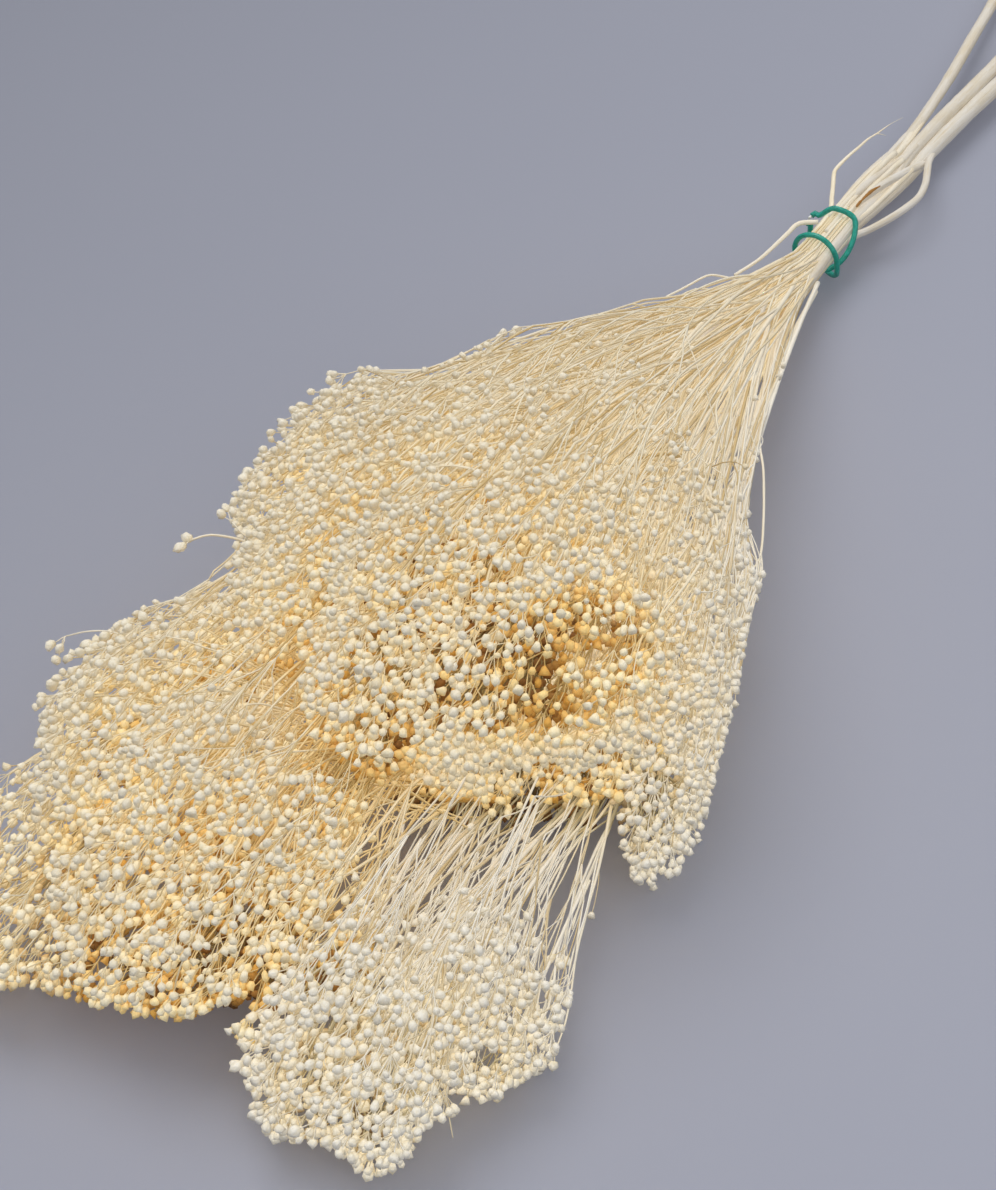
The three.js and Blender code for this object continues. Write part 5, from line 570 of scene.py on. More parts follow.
# sprays with fewer flowers, mostly bare strands
SPARSE = {"upper_spray_05": 1.55, "upper_spray_02": 1.32, "right_spray_01": 1.45, "upper_spray_04": 1.14,
          "upper_spray_09": 1.26, "upper_spray_13": 1.10, "upper_spray_01": 1.06, "far_spray_01": 1.15}
IS_FAR = np.array([c == "far" for c in CLUMP])
IS_UPPER = np.array([c == "upper" for c in CLUMP])
IN_MIDDLE = np.array([c == "middle" for c in CLUMP])
EDGE_SIDE = -1.0
# by clump: height where light starts to pass through, height where it passes fully, how much
GLOW = np.array([{"upper": (18, 46, 0.42), "left": (10, 40, 0.36), "middle": (18, 42, 0.34), "far": (4, 20, 0.12), "front": (2, 16, 0.30),
                  "right": (4, 20, 0.30), "under": (0, 1, 0.0)}[c] for c in CLUMP], float)
GAP = np.array([KIND[c][1] * SPARSE.get(n, 1.0) for c, n in zip(CLUMP, NAMES)])
FINE = {"05": 0.72, "02": 0.74, "09": 0.78, "01": 0.80, "10": 0.92, "11": 0.92, "12": 0.92, "14": 0.92, "15": 0.92, "06": 0.87, "07": 0.87, "08": 0.87, "13": 0.87}
BUD_SCALE = np.array([FINE.get(n[-2:], 0.82) if c == "upper" else KIND[c][0] for c, n in zip(CLUMP, NAMES)])
PALER = {"upper_spray_13": 0.45, "upper_spray_09": 0.75, "upper_spray_05": 0.85}
WARM = np.array([PALER.get(n, KIND[c][2]) for c, n in zip(CLUMP, NAMES)])


def local(p, h):
    """Coordinates of p in the unit ball of sprays h (arrays broadcast)."""
    v = p - S_P[h]
    return np.stack([(v * S_D[h]).sum(-1) / S_SIZE[h, 0], (v * S_L[h]).sum(-1) / S_SIZE[h, 1],
                     (v * S_W[h]).sum(-1) / S_SIZE[h, 2]], axis=-1)


def depth(p, members=None):
    """How deep a point lies inside the whole of the sprays, or of some of them, in mm."""
    best = np.full(len(p), -1e9)
    for h in (range(len(NAMES)) if members is None else members):
        q = local(p, np.full(len(p), h))
        best = np.maximum(best, (1 - np.linalg.norm(q, axis=-1)) * MEAN[h])
    return best


def flow(p, h):
    """The way shoots run at p in sprays h."""
    src = S_P[h] - S_D[h] * (2.3 * S_SIZE[h, 0])[:, None]
    return unit(0.62 * S_D[h] + 0.38 * unit(p - src))


def drape(ways, members, start, end, rounds=12):
    """Lays ways (N,m,3) over the sprays named, so deep below their outside; the ends stay."""
    n, m, _ = ways.shape
    u = np.linspace(0, 1, m)[None, 1:-1, None]
    fade = 1 - u ** 5
    goal = (start[:, None] + (end - start)[:, None] * smooth(u[..., 0], 0.45, 0.98)).ravel()
    for _ in range(rounds):
        p = ways[:, 1:-1].reshape(-1, 3)
        d = depth(p, members)
        g = np.stack([depth(p + e, members) - d for e in np.eye(3) * 0.8], axis=-1)
        out = unit(-g + np.array([0.0, 0, 0.45]))
        step = np.clip((d - goal) * 0.5, 0, 1.8)[:, None] * out
        ways[:, 1:-1] += step.reshape(n, m - 2, 3) * fade
        ways[:, 1:-1] += 0.32 * (0.5 * (ways[:, :-2] + ways[:, 2:]) - ways[:, 1:-1])
    return ways


WAVES = unit(rng.normal(size=(9, 3))) * (2 * math.pi / (17 + 15 * rng.random((9, 1))))
PHASE = rng.random(9) * 2 * math.pi


def hills(p):
    """Slow swell of the outside, about -1.5 to 1.5."""
    return np.cos(p @ WAVES.T + PHASE).sum(1) * math.sqrt(2.0 / 9)


def scatter(want):
    """Places of flower clusters, spread through the outer layer of the sprays."""
    pts, hs = [], []
    for h in range(len(NAMES)):
        n = int(S_SIZE[h].prod() * 0.13)
        v = unit(rng.normal(size=(n, 3)))
        r = rng.random(n) ** (1 / 3)
        q = v * r[:, None]
        p = S_P[h] + q[:, :1] * S_SIZE[h, 0] * S_D[h] + q[:, 1:2] * S_SIZE[h, 1] * S_L[h] + q[:, 2:] * S_SIZE[h, 2] * S_W[h]
        pts.append(p)
        hs.append(np.full(n, h))
    p = np.vstack(pts)
    h = np.concatenate(hs)
    q = local(p, h)
    keep = p[:, 2] > 1.5
    dp = depth(p)
    chance = np.where(dp < 4, 1.0, np.where(dp < 13, 0.75 - 0.68 * (dp - 4) / 9, 0.035))
    chance *= np.where(dp < 4.5, 0.50 + 0.50 * smooth(hills(p), -0.9, -0.1), 1.0)
    tieward = 1 - smooth(q[:, 0], -0.75, 0.30)
    chance *= 1 - 0.94 * (1 - smooth(q[:, 0], -0.9, -0.1))
    chance *= np.where((q[:, 2] < -0.3) & (p[:, 2] < 12), 0.6, 1.0)
    for hx, hy, hz, hr in HOLLOWS:
        chance *= 0.62 + 0.38 * smooth(np.linalg.norm((p - (hx, hy, hz)) / (1.0, 0.8, 1.0), axis=1), 0.5 * hr, 1.0 * hr)
    # the middle clump ends where the far one shows beside it
    k = (EYE[2] - p[:, 2]) / (EYE[2] - 30.0)
    e = EYE[:2] + (p[:, :2] - EYE[:2]) / k[:, None] - LEFT_EDGE[0]
    way = unit(LEFT_EDGE[1] - LEFT_EDGE[0])
    past = e[:, 0] * way[1] - e[:, 1] * way[0] + rng.normal(size=len(p)) * 1.6
    chance *= np.where(IN_MIDDLE[h], smooth(past * EDGE_SIDE, -1.0, 2.5), 1.0)
    gaps = GAP[h] * (1 + 0.38 * tieward)
    keep &= rng.random(len(p)) < chance
    p, h, dp, gaps = p[keep], h[keep], dp[keep], gaps[keep]
    order = np.argsort(dp + rng.random(len(dp)) * 9)
    cells = {}
    out = []
    gap = gaps.max()
    for i in order:
        x, y, z = p[i]
        c = (int(x // gap), int(y // gap), int(z // gap))
        good = True
        for dx in (-1, 0, 1):
            for dy in (-1, 0, 1):
                for dz in (-1, 0, 1):
                    for j in cells.get((c[0] + dx, c[1] + dy, c[2] + dz), ()):
                        e = p[j]
                        if (e[0] - x) ** 2 + (e[1] - y) ** 2 + (e[2] - z) ** 2 < (0.5 * (gaps[i] + gaps[j])) ** 2:
                            good = False
                            break
                    if not good:
                        break
                if not good:
                    break
            if not good:
                break
        if good:
            cells.setdefault(c, []).append(i)
            out.append(i)
            if len(out) >= want:
                break
    out = np.array(out)
    return p[out], h[out], dp[out]


def groups(points, size, stretch_dir, shrink=0.5, rounds=6):
    """k-means with the axis of growth counted less."""
    n = len(points)
    k = max(1, int(round(n / size)))
    v = points - (points * stretch_dir).sum(-1, keepdims=True) * stretch_dir * (1 - shrink)
    centre = v[rng.permutation(n)[:k]].copy()
    for _ in range(rounds):
        d = ((v[:, None, :] - centre[None]) ** 2).sum(-1)
        own = d.argmin(1)
        for j in range(k):
            m = own == j
            if m.any():
                centre[j] = v[m].mean(0)
    return own, k


def dent(points):
    """Sinks points (..., 3) that lie in a hollow away from the outside."""
    shape = points.shape
    p = points.reshape(-1, 3).copy()
    for hx, hy, hz, hr in HOLLOWS:
        out = unit(np.array([-0.62, -0.30, 0.72]))
        near = np.linalg.norm(p - (hx, hy, hz), axis=1) / hr
        p -= out * (0.38 * hr * (1 - smooth(near, 0.25, 1.25)))[:, None]
    p[:, 2] = np.maximum(p[:, 2], 0.5)
    return p.reshape(shape)


print("growing")
C, CH, CD = scatter(4200)
C = dent(C)
CF = flow(C, CH)
CF = unit(CF + rng.normal(size=CF.shape) * 0.10)
C = keep_inside(C, -1.5)
node = keep_inside(C - CF * (4.6 + rng.random(len(C))[:, None] * 1.6), 0.0)
node[:, 2] = np.maximum(node[:, 2], 0.6)
count = rng.choice([3, 4, 5, 6, 7], size=len(C), p=[0.16, 0.28, 0.28, 0.18, 0.10])
own = np.repeat(np.arange(len(C)), count)
nth = np.concatenate([np.arange(c) for c in count])
cnt = count[own]
phi = 2 * math.pi * nth / np.maximum(cnt - 1, 1) + np.repeat(rng.random(len(C)) * 6.28, count) + rng.normal(size=len(own)) * 0.3
theta = np.where(nth == 0, rng.random(len(own)) * 0.22, np.radians(20 + 27 * rng.random(len(own))))
reach = np.where(nth == 0, 4.8 + 3.0 * rng.random(len(own)), 4.0 + 3.6 * rng.random(len(own)))
F = CF[own]
ref = np.where(np.abs(F[:, 2:3]) < 0.9, np.array([[0.0, 0, 1]]), np.array([[1.0, 0, 0]]))
U = unit(np.cross(F, ref))
V = np.cross(F, U)
ax = unit(F * np.cos(theta)[:, None] + (U * np.cos(phi)[:, None] + V * np.sin(phi)[:, None]) * np.sin(theta)[:, None])
B = node[own] + ax * reach[:, None]
BS = np.clip(rng.normal(1.0, 0.13, len(B)), 0.66, 1.26) * BUD_SCALE[CH[own]]

# buds and stalks of the underside below the edge of the overhang, painted near-black as shade
SHADED = []
for k in range(260):
    i = rng.integers(len(FOOT) - 2)
    q = FOOT[i] + (FOOT[i + 1] - FOOT[i]) * rng.random() + rng.normal(size=2) * 2.0 + (4.5, 2.0)
    SHADED.append((*q, 2.0 + 10.0 * rng.random()))
SHADED = np.array(SHADED)

# push buds apart
for it in range(6):
    tree = kdtree.KDTree(len(B))
    for i, p in enumerate(B):
        tree.insert(p, i)
    tree.balance()
    move = np.zeros_like(B)
    hits = 0
    for i, p in enumerate(B):
        for q, j, d in tree.find_range(p, 2.8):
            if j > i:
                need = 1.20 * (BS[i] + BS[j])
                if d < need:
                    v = (B[i] - B[j]) / (d + 1e-9) * (need - d) * 0.5
                    move[i] += v
                    move[j] -= v
                    hits += 1
    B += np.clip(move, -0.8, 0.8)
    B = keep_inside(B, 0.1 + 3.0 * rng.random(len(B)) ** 2)
B[:, 2] = np.maximum(B[:, 2], 1.36 * BS + 0.05)
print("buds", len(B), "clusters", len(C), "close pairs left", hits)

# second, third order shoots, spray by spray
limb_way = {g: spline(rows, 1.8) for g, (stem, rows) in LIMBS.items()}
branch_way = {n: spline(SPRAYS[n][4], 3.2) for n in NAMES}
paths = {n: {} for n in NAMES}
tie_x = TIE_CENTRE[0]

# free places in the tie for thin strands that start below it
spots = []
taken = [(limb_way[g][np.argmin(np.abs(limb_way[g][:, 0] - tie_x))][1:4]) for g in limb_way]
for _ in range(6000):
    a, r = rng.random() * 6.28, BUNDLE * math.sqrt(rng.random())
    y, z = TIE_CENTRE[1] + (r - 0.6) * math.cos(a), TIE_CENTRE[2] + (r - 0.6) * math.sin(a)
    if all(math.hypot(y - s[0], z - s[1]) > s[2] * 0.8 + 0.5 for s in taken) and all(math.hypot(y - s[0], z - s[1]) > 1.05 for s in spots):
        spots.append((y, z))
spots = np.array(spots)
print("places in the tie", len(spots))
spot_used = np.zeros(len(spots), bool)

for hi, name in enumerate(NAMES):
    m = np.where(CH == hi)[0]
    P = paths[name]
    if len(m) == 0:
        continue
    D = S_D[hi]
    g2, k2 = groups(node[m], 4.3, D, 0.55)
    sec = np.empty((k2, 3))
    for j in range(k2):
        mm = m[g2 == j]
        if len(mm) == 0:
            sec[j] = node[m].mean(0)
            continue
        c = node[mm].mean(0)
        f = flow(c[None], np.array([hi]))[0]
        back = ((node[mm] - c) @ f).min() - 6.0 - rng.random() * 7.0
        sec[j] = c + f * back
        axis_pt = S_P[hi] + D * ((sec[j] - S_P[hi]) @ D)
        sec[j] = axis_pt + (sec[j] - axis_pt) * 0.95
    sec[:, 2] = np.maximum(sec[:, 2], 0.8)
    used = np.array([(g2 == j).any() for j in range(k2)])
    secf = flow(sec, np.full(k2, hi))
    # third order
    g3, k3 = groups(sec, 3.0, D, 0.6)
    ter = np.empty((k3, 3))
    for j in range(k3):
        mm = np.where(g3 == j)[0]
        c = sec[mm].mean(0) if len(mm) else sec.mean(0)
        f = flow(c[None], np.array([hi]))[0]
        back = (((sec[mm] - c) @ f).min() if len(mm) else 0) - 9.0 - rng.random() * 14.0
        ter[j] = c + f * back
        axis_pt = S_P[hi] + D * ((ter[j] - S_P[hi]) @ D)
        ter[j] = axis_pt + (ter[j] - axis_pt) * 0.88
    ter[:, 2] = np.maximum(ter[:, 2], 1.0)
    terf = flow(ter, np.full(k3, hi))
    # stalks of the clusters
    a, b = sec[g2], node[m]
    L = np.linalg.norm(b - a, axis=1)[:, None]
    P["stalk"] = wavy(hermite(a, secf[g2] * L * 0.9, b, CF[m] * L * 0.8, 4), 0.4)
    a, b = ter[g3], sec
    L = np.linalg.norm(b - a, axis=1)[:, None]
    P["second"] = wavy(hermite(a, terf[g3] * L * 0.8, b, secf * L * 0.7, 6), 0.45)
    # long strands back to the branch, the limb or through the tie
    way = branch_way[name]
    lw = limb_way[S_LIMB[hi]]
    long_paths = []
    for j in range(k3):
        e, f = ter[j], terf[j]
        far = tie_x - e[0]
        kind = rng.random()
        free = np.where(~spot_used)[0]
        if kind < 0.20 and len(free):
            want = TIE_CENTRE[1:] + (e[1:] - TIE_CENTRE[1:]) / max(far, 30) * 26
            s = free[np.argmin(((spots[free] - want) ** 2).sum(1))]
            spot_used[s] = True
            y, z = spots[s]
            x0 = tie_x + 14 + rng.random() * 16
            main = limb_way[S_LIMB[hi][0] + "0"]
            lo = main[np.argmin(np.abs(main[:, 0] - x0))][:3]
            pts = [lo, (tie_x + 7, y, z), (tie_x - 13, y, z)]
            base = np.array(pts[-1])
            L = np.linalg.norm(e - base)
            h = hermite(base[None], np.array([[-1.0, (y - TIE_CENTRE[1]) * 0.02, (z - TIE_CENTRE[2]) * 0.02]]) * L * 0.45, e[None], f[None] * L * 0.6, 12)
            h = wavy(h, 0.5)[0][1:]
            w = np.vstack([spline(np.array(pts), 12.0), h])
        else:
            if kind < 0.20 + 0.45 * LAY.get(CLUMP[hi], (0, 0, 0.4))[2]:
                i = np.argmin(np.abs(lw[:, 0] - (tie_x - 12 - rng.random() * min(42, max(far - 30, 4)))))
                src = lw[i][:3]
                t = unit(lw[min(i + 2, len(lw) - 1)][:3] - lw[max(i - 2, 0)][:3])
            else:
                u = 0.34 + 0.46 * rng.random() if CLUMP[hi] == "front" else 0.02 + 0.76 * rng.random() ** 1.1
                i = int(u * (len(way) - 1))
                # never past the place that it grows to
                while i > 2 and (e - way[i][:3]) @ D < 12:
                    i -= 1
                src = way[i][:3]
                t = unit(way[min(i + 2, len(way) - 1)][:3] - way[max(i - 2, 0)][:3])
            L = np.linalg.norm(e - src)
            t = unit(0.55 * t + 0.45 * unit(e - src))
            h = hug(hermite(src[None], t[None] * L * 0.45, e[None], f[None] * L * 0.6, 14), way, HUG[CLUMP[hi]])
            w = wavy(h, 0.7)[0]
        long_paths.append(spline(w, max(3.5, np.linalg.norm(np.diff(w, axis=0), axis=1).sum() / 16.5)))
    P["long"] = long_paths
    P["m"] = m
    P["sec"], P["ter"] = sec, ter
    # strands that run over the outside of the mass to its flower clusters
    up = local(node[m], np.full(len(m), hi))[:, 2]
    top = m[(CD[m] < 8.5) & (up > -0.45)]
    every = KIND[CLUMP[hi]][3]
    if every > 50 or len(top) < 4:
        continue
    gt, kt = groups(node[top], every, D, 0.7)
    ends = []
    for j in range(kt):
        mm = top[gt == j]
        if len(mm):
            c = node[mm].mean(0)
            ends.append(mm[np.argmin(((node[mm] - c) ** 2).sum(1))])
    ends = np.array(ends)
    e = node[ends]
    f = CF[ends]
    src, tan = np.empty_like(e), np.empty_like(e)
    near, deep, at_limb = LAY[CLUMP[hi]]
    kin = sorted({S_LIMB[i] for i in range(len(NAMES)) if CLUMP[i] == CLUMP[hi]})
    for j in range(len(e)):
        far = tie_x - e[j, 0]
        if CLUMP[hi] == "middle" and rng.random() < 0.85:
            src[j] = MOUTH + rng.normal(size=3) * MOUTH_SIZE
            t = unit(MOUTH - lw[-1][:3])
            tan[j] = unit(0.35 * t + 0.65 * unit(e[j] - src[j]))
            continue
        if rng.random() < at_limb:
            line = limb_way[kin[rng.integers(len(kin))]] if rng.random() < 0.45 else lw
            i = np.argmin(np.abs(line[:, 0] - (tie_x - 10 - rng.random() * min(55, max(0.45 * far, 6)))))
        else:
            line = way
            i = int((0.35 + 0.40 * rng.random() if CLUMP[hi] == "front" else 0.04 + 0.80 * rng.random()) * (len(way) - 1))
            while i > 2 and (e[j] - way[i][:3]) @ D < 17:
                i -= 1
        src[j] = line[i][:3]
        t = unit(line[min(i + 2, len(line) - 1)][:3] - line[max(i - 2, 0)][:3])
        tan[j] = unit(0.45 * t + 0.55 * unit(e[j] - src[j]))
    L = np.linalg.norm(e - src, axis=1)[:, None]
    v = hug(hermite(src, tan * L * 0.5, e, f * L * 0.35, 15), way, HUG[CLUMP[hi]])
    low = np.where(rng.random(len(v)) < 0.25, 7.0, 0.0) if CLUMP[hi] == "front" else 0.0
    v = drape(v, [i for i in range(len(NAMES)) if CLUMP[i] == CLUMP[hi]], near + low + rng.normal(size=len(v)) * 1.0, deep + low * 0.4 + rng.random(len(v)) * 2.0)
    v = keep_inside(dent(wavy(v, 0.75)), 0.5)
    v[:, -1] = e
    P["veil"] = v
    # forks: thin shoots that leave them and end in a bud or two
    front = CLUMP[hi] == "front"
    k = np.concatenate([np.where(rng.random(len(v)) < share)[0] for share in ((1.0, 0.40) if front else (0.6,))])
    at = rng.integers(4, 11, len(k)) if front else rng.integers(5, 11, len(k))
    a = v[k, at]
    t = unit(v[k, at + 1] - v[k, at - 1])
    side = unit(np.cross(t, unit(a - S_P[hi]) + 1e-3)) * np.where(rng.random(len(k)) < 0.5, -1, 1)[:, None]
    out = unit(side + 0.45 * unit(a - S_P[hi]) * rng.random((len(k), 1)))
    reach_f = (np.minimum(14 + 30 * rng.random(len(k)), np.linalg.norm(v[k, -1] - a, axis=1)) if front else 9 + 15 * rng.random(len(k)))[:, None]
    ang = np.radians((8 if front else 12) + 16 * rng.random(len(k)))[:, None]
    tip = a + (t * np.cos(ang) + out * np.sin(ang)) * reach_f
    tip = keep_inside(tip, 0.8)
    tip[:, 2] = np.maximum(tip[:, 2], 1.6)
    P["fork"] = wavy(hermite(a, unit(t + out * 0.5) * reach_f, tip, t * reach_f * 0.8, 6), 0.3)
    P["fork_end"] = unit(P["fork"][:, -1] - P["fork"][:, -2])

# strands of the front clump that come out from under the overhang and cross each other
for k in range(40):
    name = ("front_spray_01", "front_spray_02", "front_spray_05", "front_spray_03")[k % 4]
    m = paths[name]["m"]
    e = node[m[rng.integers(len(m))]].copy()
    t = rng.random() * 0.80 + 0.08
    i = int(t * (len(FOOT) - 1))
    q = FOOT[i] + (FOOT[i + 1] - FOOT[i]) * rng.random()
    z = 7.0 + 10.0 * rng.random()
    a = np.array([*q, z])
    back = unit(a - e + rng.normal(size=3) * 6)
    a = a + back * 16
    e[2] = max(1.5, e[2] - 2 - 6 * rng.random())
    L = np.linalg.norm(e - a)
    mid = 0.5 * (a + e) + (0, 0, 2 + 5 * rng.random())
    h = wavy(spline(np.array([a, mid, e]), L / 12)[None], 1.0)[0]
    paths[name]["long"].append(spline(h, max(3.5, L / 14)))

# thicker shoots that bring the strands of the middle clump to where they come out
for k in range(14):
    name = "middle_spray_0%d" % (1 + k % 8)
    lw = limb_way[SPRAYS[name][0]]
    a = lw[len(lw) - 1 - int(rng.integers(0, 6))][:3]
    b = MOUTH + rng.normal(size=3) * MOUTH_SIZE * 0.8
    L = np.linalg.norm(b - a)
    out = unit(local(b[None], np.array([NAMES.index(name)]))[0] * 0 + S_P[NAMES.index(name)] - b)
    c = b + out * 30
    h = np.concatenate([hermite(a[None], unit(b - a)[None] * L * 0.4, b[None], out[None] * L * 0.3, 8)[0],
                        hermite(b[None], out[None] * 14, c[None], out[None] * 30, 4)[0][1:]])
    paths[name]["long"].append(spline(h, max(3.5, L / 14)))

for name in NAMES:
    for w in paths[name].get("long", ()):
        w[:, :3] = keep_inside(w[:, :3], 0.3)
        w[:, 2] = np.maximum(w[:, 2], 0.5)
    for key in ("stalk", "second"):
        if key in paths[name]:
            paths[name][key] = keep_inside(paths[name][key], 0.5)
    if "veil" in paths[name]:
        paths[name]["veil"][:, :, 2] = np.maximum(paths[name]["veil"][:, :, 2], 0.5)
        paths[name]["fork"][:, :, 2] = np.maximum(paths[name]["fork"][:, :, 2], 0.5)
print("long strands", sum(len(paths[n].get("long", ())) for n in NAMES), "over the top", sum(len(paths[n].get("veil", ())) for n in NAMES))

# ---- how much lies where -----------------------------------------------------------
deposit(B, 5.5)
for name in NAMES:
    P = paths[name]
    if "stalk" in P:
        deposit(P["stalk"].reshape(-1, 3), 0.6)
        deposit(P["second"].reshape(-1, 3), 0.7)
        for w in P["long"]:
            deposit(w[:, :3], 1.6)
        if "veil" in P:
            deposit(P["veil"].reshape(-1, 3), 1.6)
            deposit(P["fork"].reshape(-1, 3), 0.6)
for g, w in limb_way.items():
    deposit(w[:, :3], 2.0 * w[:, 3])
for name in NAMES:
    deposit(branch_way[name][:, :3], 1.6)
mass = soften(mass)
open_b = glow(openness(B), B, CH[own]) * dim(B, CH[own])
print("openness of buds", np.percentile(open_b, [2, 20, 50, 80, 98]).round(2))


def tone_of(p, rand, warm=1.0, spray=None):
    """(N,m,4) tone for ways (N,m,3)."""
    n, m = p.shape[:2]
    t = np.zeros((n, m, 4))
    t[..., 0] = rand[:, None]
    t[..., 1] = openness(p.reshape(-1, 3)).reshape(n, m)
    if spray is not None:
        q, h = p.reshape(-1, 3), np.repeat(np.broadcast_to(spray, n), m)
        t[..., 1] = (glow(t[..., 1].ravel(), q, h) * dim(q, h)).reshape(n, m)
    t[..., 2] = np.linspace(0, 1, m)[None]
    t[..., 3] = np.broadcast_to(np.asarray(warm, float).reshape(-1, 1), (n, m))
    return t


# ---- materials -----------------------------------------------------------------------
def material(name):
    mat = bpy.data.materials.new(name)
    mat.use_nodes = True
    nt = mat.node_tree
    nt.nodes.clear()
    out = nt.nodes.new("ShaderNodeOutputMaterial")
    sh = nt.nodes.new("ShaderNodeBsdfPrincipled")
    nt.links.new(sh.outputs[0], out.inputs["Surface"])
    return mat, nt, sh


def attr(nt, name):
    a = nt.nodes.new("ShaderNodeAttribute")
    a.attribute_name = name
    s = nt.nodes.new("ShaderNodeSeparateColor")
    nt.links.new(a.outputs["Color"], s.inputs[0])
    return a, s


def ramp(nt, src, stops, mode="LINEAR"):
    r = nt.nodes.new("ShaderNodeValToRGB")
    r.color_ramp.interpolation = mode
    e = r.color_ramp.elements
    while len(e) < len(stops):
        e.new(0.5)
    for el, (pos, col) in zip(e, stops):
        el.position = pos
        el.color = (*col, 1)
    nt.links.new(src, r.inputs[0])
    return r.outputs[0]


def mix(nt, kind, fac, a, b):
    n = nt.nodes.new("ShaderNodeMix")
    n.data_type = "RGBA"
    n.blend_type = kind
    for sock, val in ((n.inputs[0], fac), (n.inputs[6], a), (n.inputs[7], b)):
        if hasattr(val, "is_output"):
            nt.links.new(val, sock)
        elif isinstance(val, (int, float)):
            sock.default_value = val
        else:
            sock.default_value = (*val, 1)
    return n.outputs[2]


def math_node(nt, op, a, b=None, clamp=False):
    n = nt.nodes.new("ShaderNodeMath")
    n.operation = op
    n.use_clamp = clamp
    for i, val in enumerate((a, b)):
        if val is None:
            continue
        if hasattr(val, "is_output"):
            nt.links.new(val, n.inputs[i])
        else:
            n.inputs[i].default_value = val
    return n.outputs[0]


def noise(nt, vector, scale, detail=3.0, rough=0.55, scaling=None):
    n = nt.nodes.new("ShaderNodeTexNoise")
    n.inputs["Scale"].default_value = scale
    n.inputs["Detail"].default_value = detail
    n.inputs["Roughness"].default_value = rough
    if scaling is not None:
        m = nt.nodes.new("ShaderNodeVectorMath")
        m.operation = "MULTIPLY"
        m.inputs[1].default_value = scaling
        nt.links.new(vector, m.inputs[0])
        vector = m.outputs[0]
    nt.links.new(vector, n.inputs["Vector"])
    return n.outputs[0]


def bump(nt, height, distance, strength):
    b = nt.nodes.new("ShaderNodeBump")
    b.inputs["Distance"].default_value = distance
    b.inputs["Strength"].default_value = strength
    nt.links.new(height, b.inputs["Height"])
    return b.outputs[0]


def shade(nt, ta, ts, warm, pale):
    """Painted light and shade: colour by how open the place lies, between a warm and a pale set of stops."""
    a = ramp(nt, ts.outputs[1], warm)
    b = ramp(nt, ts.outputs[1], pale)
    return mix(nt, "MIX", ta.outputs["Alpha"], b, a)


def roughness(nt, sh, src, low, high):
    n = nt.nodes.new("ShaderNodeMapRange")
    n.inputs["From Min"].default_value = 0.3
    n.inputs["From Max"].default_value = 0.7
    n.inputs["To Min"].default_value = low
    n.inputs["To Max"].default_value = high
    nt.links.new(src, n.inputs[0])
    nt.links.new(n.outputs[0], sh.inputs["Roughness"])


def make_bud():
    mat, nt, sh = material("dry_bud")
    ta, ts = attr(nt, "tone")
    fa, fs = attr(nt, "fibre")
    # painted shade and light: honey to dark brown deep inside where little light reaches (light value in tone), ivory
    # outside
    c = shade(nt, ta, ts,
              [(0.0, (0.085, 0.04, 0.012)), (0.012, (0.26, 0.12, 0.03)), (0.05, (0.68, 0.39, 0.085)), (0.11, (0.91, 0.70, 0.32)), (0.20, (0.925, 0.81, 0.52)), (0.34, (0.865, 0.795, 0.605)), (0.66, (0.77, 0.718, 0.60))],
              [(0.0, (0.07, 0.045, 0.025)), (0.012, (0.24, 0.16, 0.08)), (0.05, (0.60, 0.48, 0.29)), (0.11, (0.84, 0.76, 0.57)), (0.20, (0.88, 0.83, 0.705)), (0.34, (0.835, 0.795, 0.70)), (0.66, (0.77, 0.745, 0.682))])
    # every bud has a tone of its own
    own_tone = ramp(nt, ts.outputs[0], [(0.0, (0.95, 0.88, 0.74)), (0.15, (0.985, 0.96, 0.91)), (0.45, (1.0, 0.995, 0.985)), (1.0, (1.0, 1.0, 1.0))])
    c = mix(nt, "MULTIPLY", 1.0, c, own_tone)
    # greenish straw at the foot, slightly darker folded tip
    foot = ramp(nt, ts.outputs[2], [(0.0, (0.86, 0.77, 0.56)), (0.22, (0.985, 0.96, 0.88)), (0.45, (1, 1, 1)), (0.86, (1, 1, 1)), (1.0, (0.96, 0.91, 0.79))])
    c = mix(nt, "MULTIPLY", 0.85, c, foot)
    # papery bracts: blotches and fine ribs that run from foot to tip
    blot = noise(nt, fa.outputs["Vector"], 1.5, 3.0, 0.6, scaling=(1.0, 1.0, 0.55))
    blotc = ramp(nt, blot, [(0.34, (0.95, 0.90, 0.79)), (0.56, (1, 1, 1))])
    c = mix(nt, "MULTIPLY", 0.75, c, blotc)
    nt.links.new(c, sh.inputs["Base Color"])
    nt.links.new(bump(nt, blot, 0.0007, 0.6), sh.inputs["Normal"])
    roughness(nt, sh, blot, 0.62, 0.86)
    sh.inputs["Specular IOR Level"].default_value = 0.28
    return mat


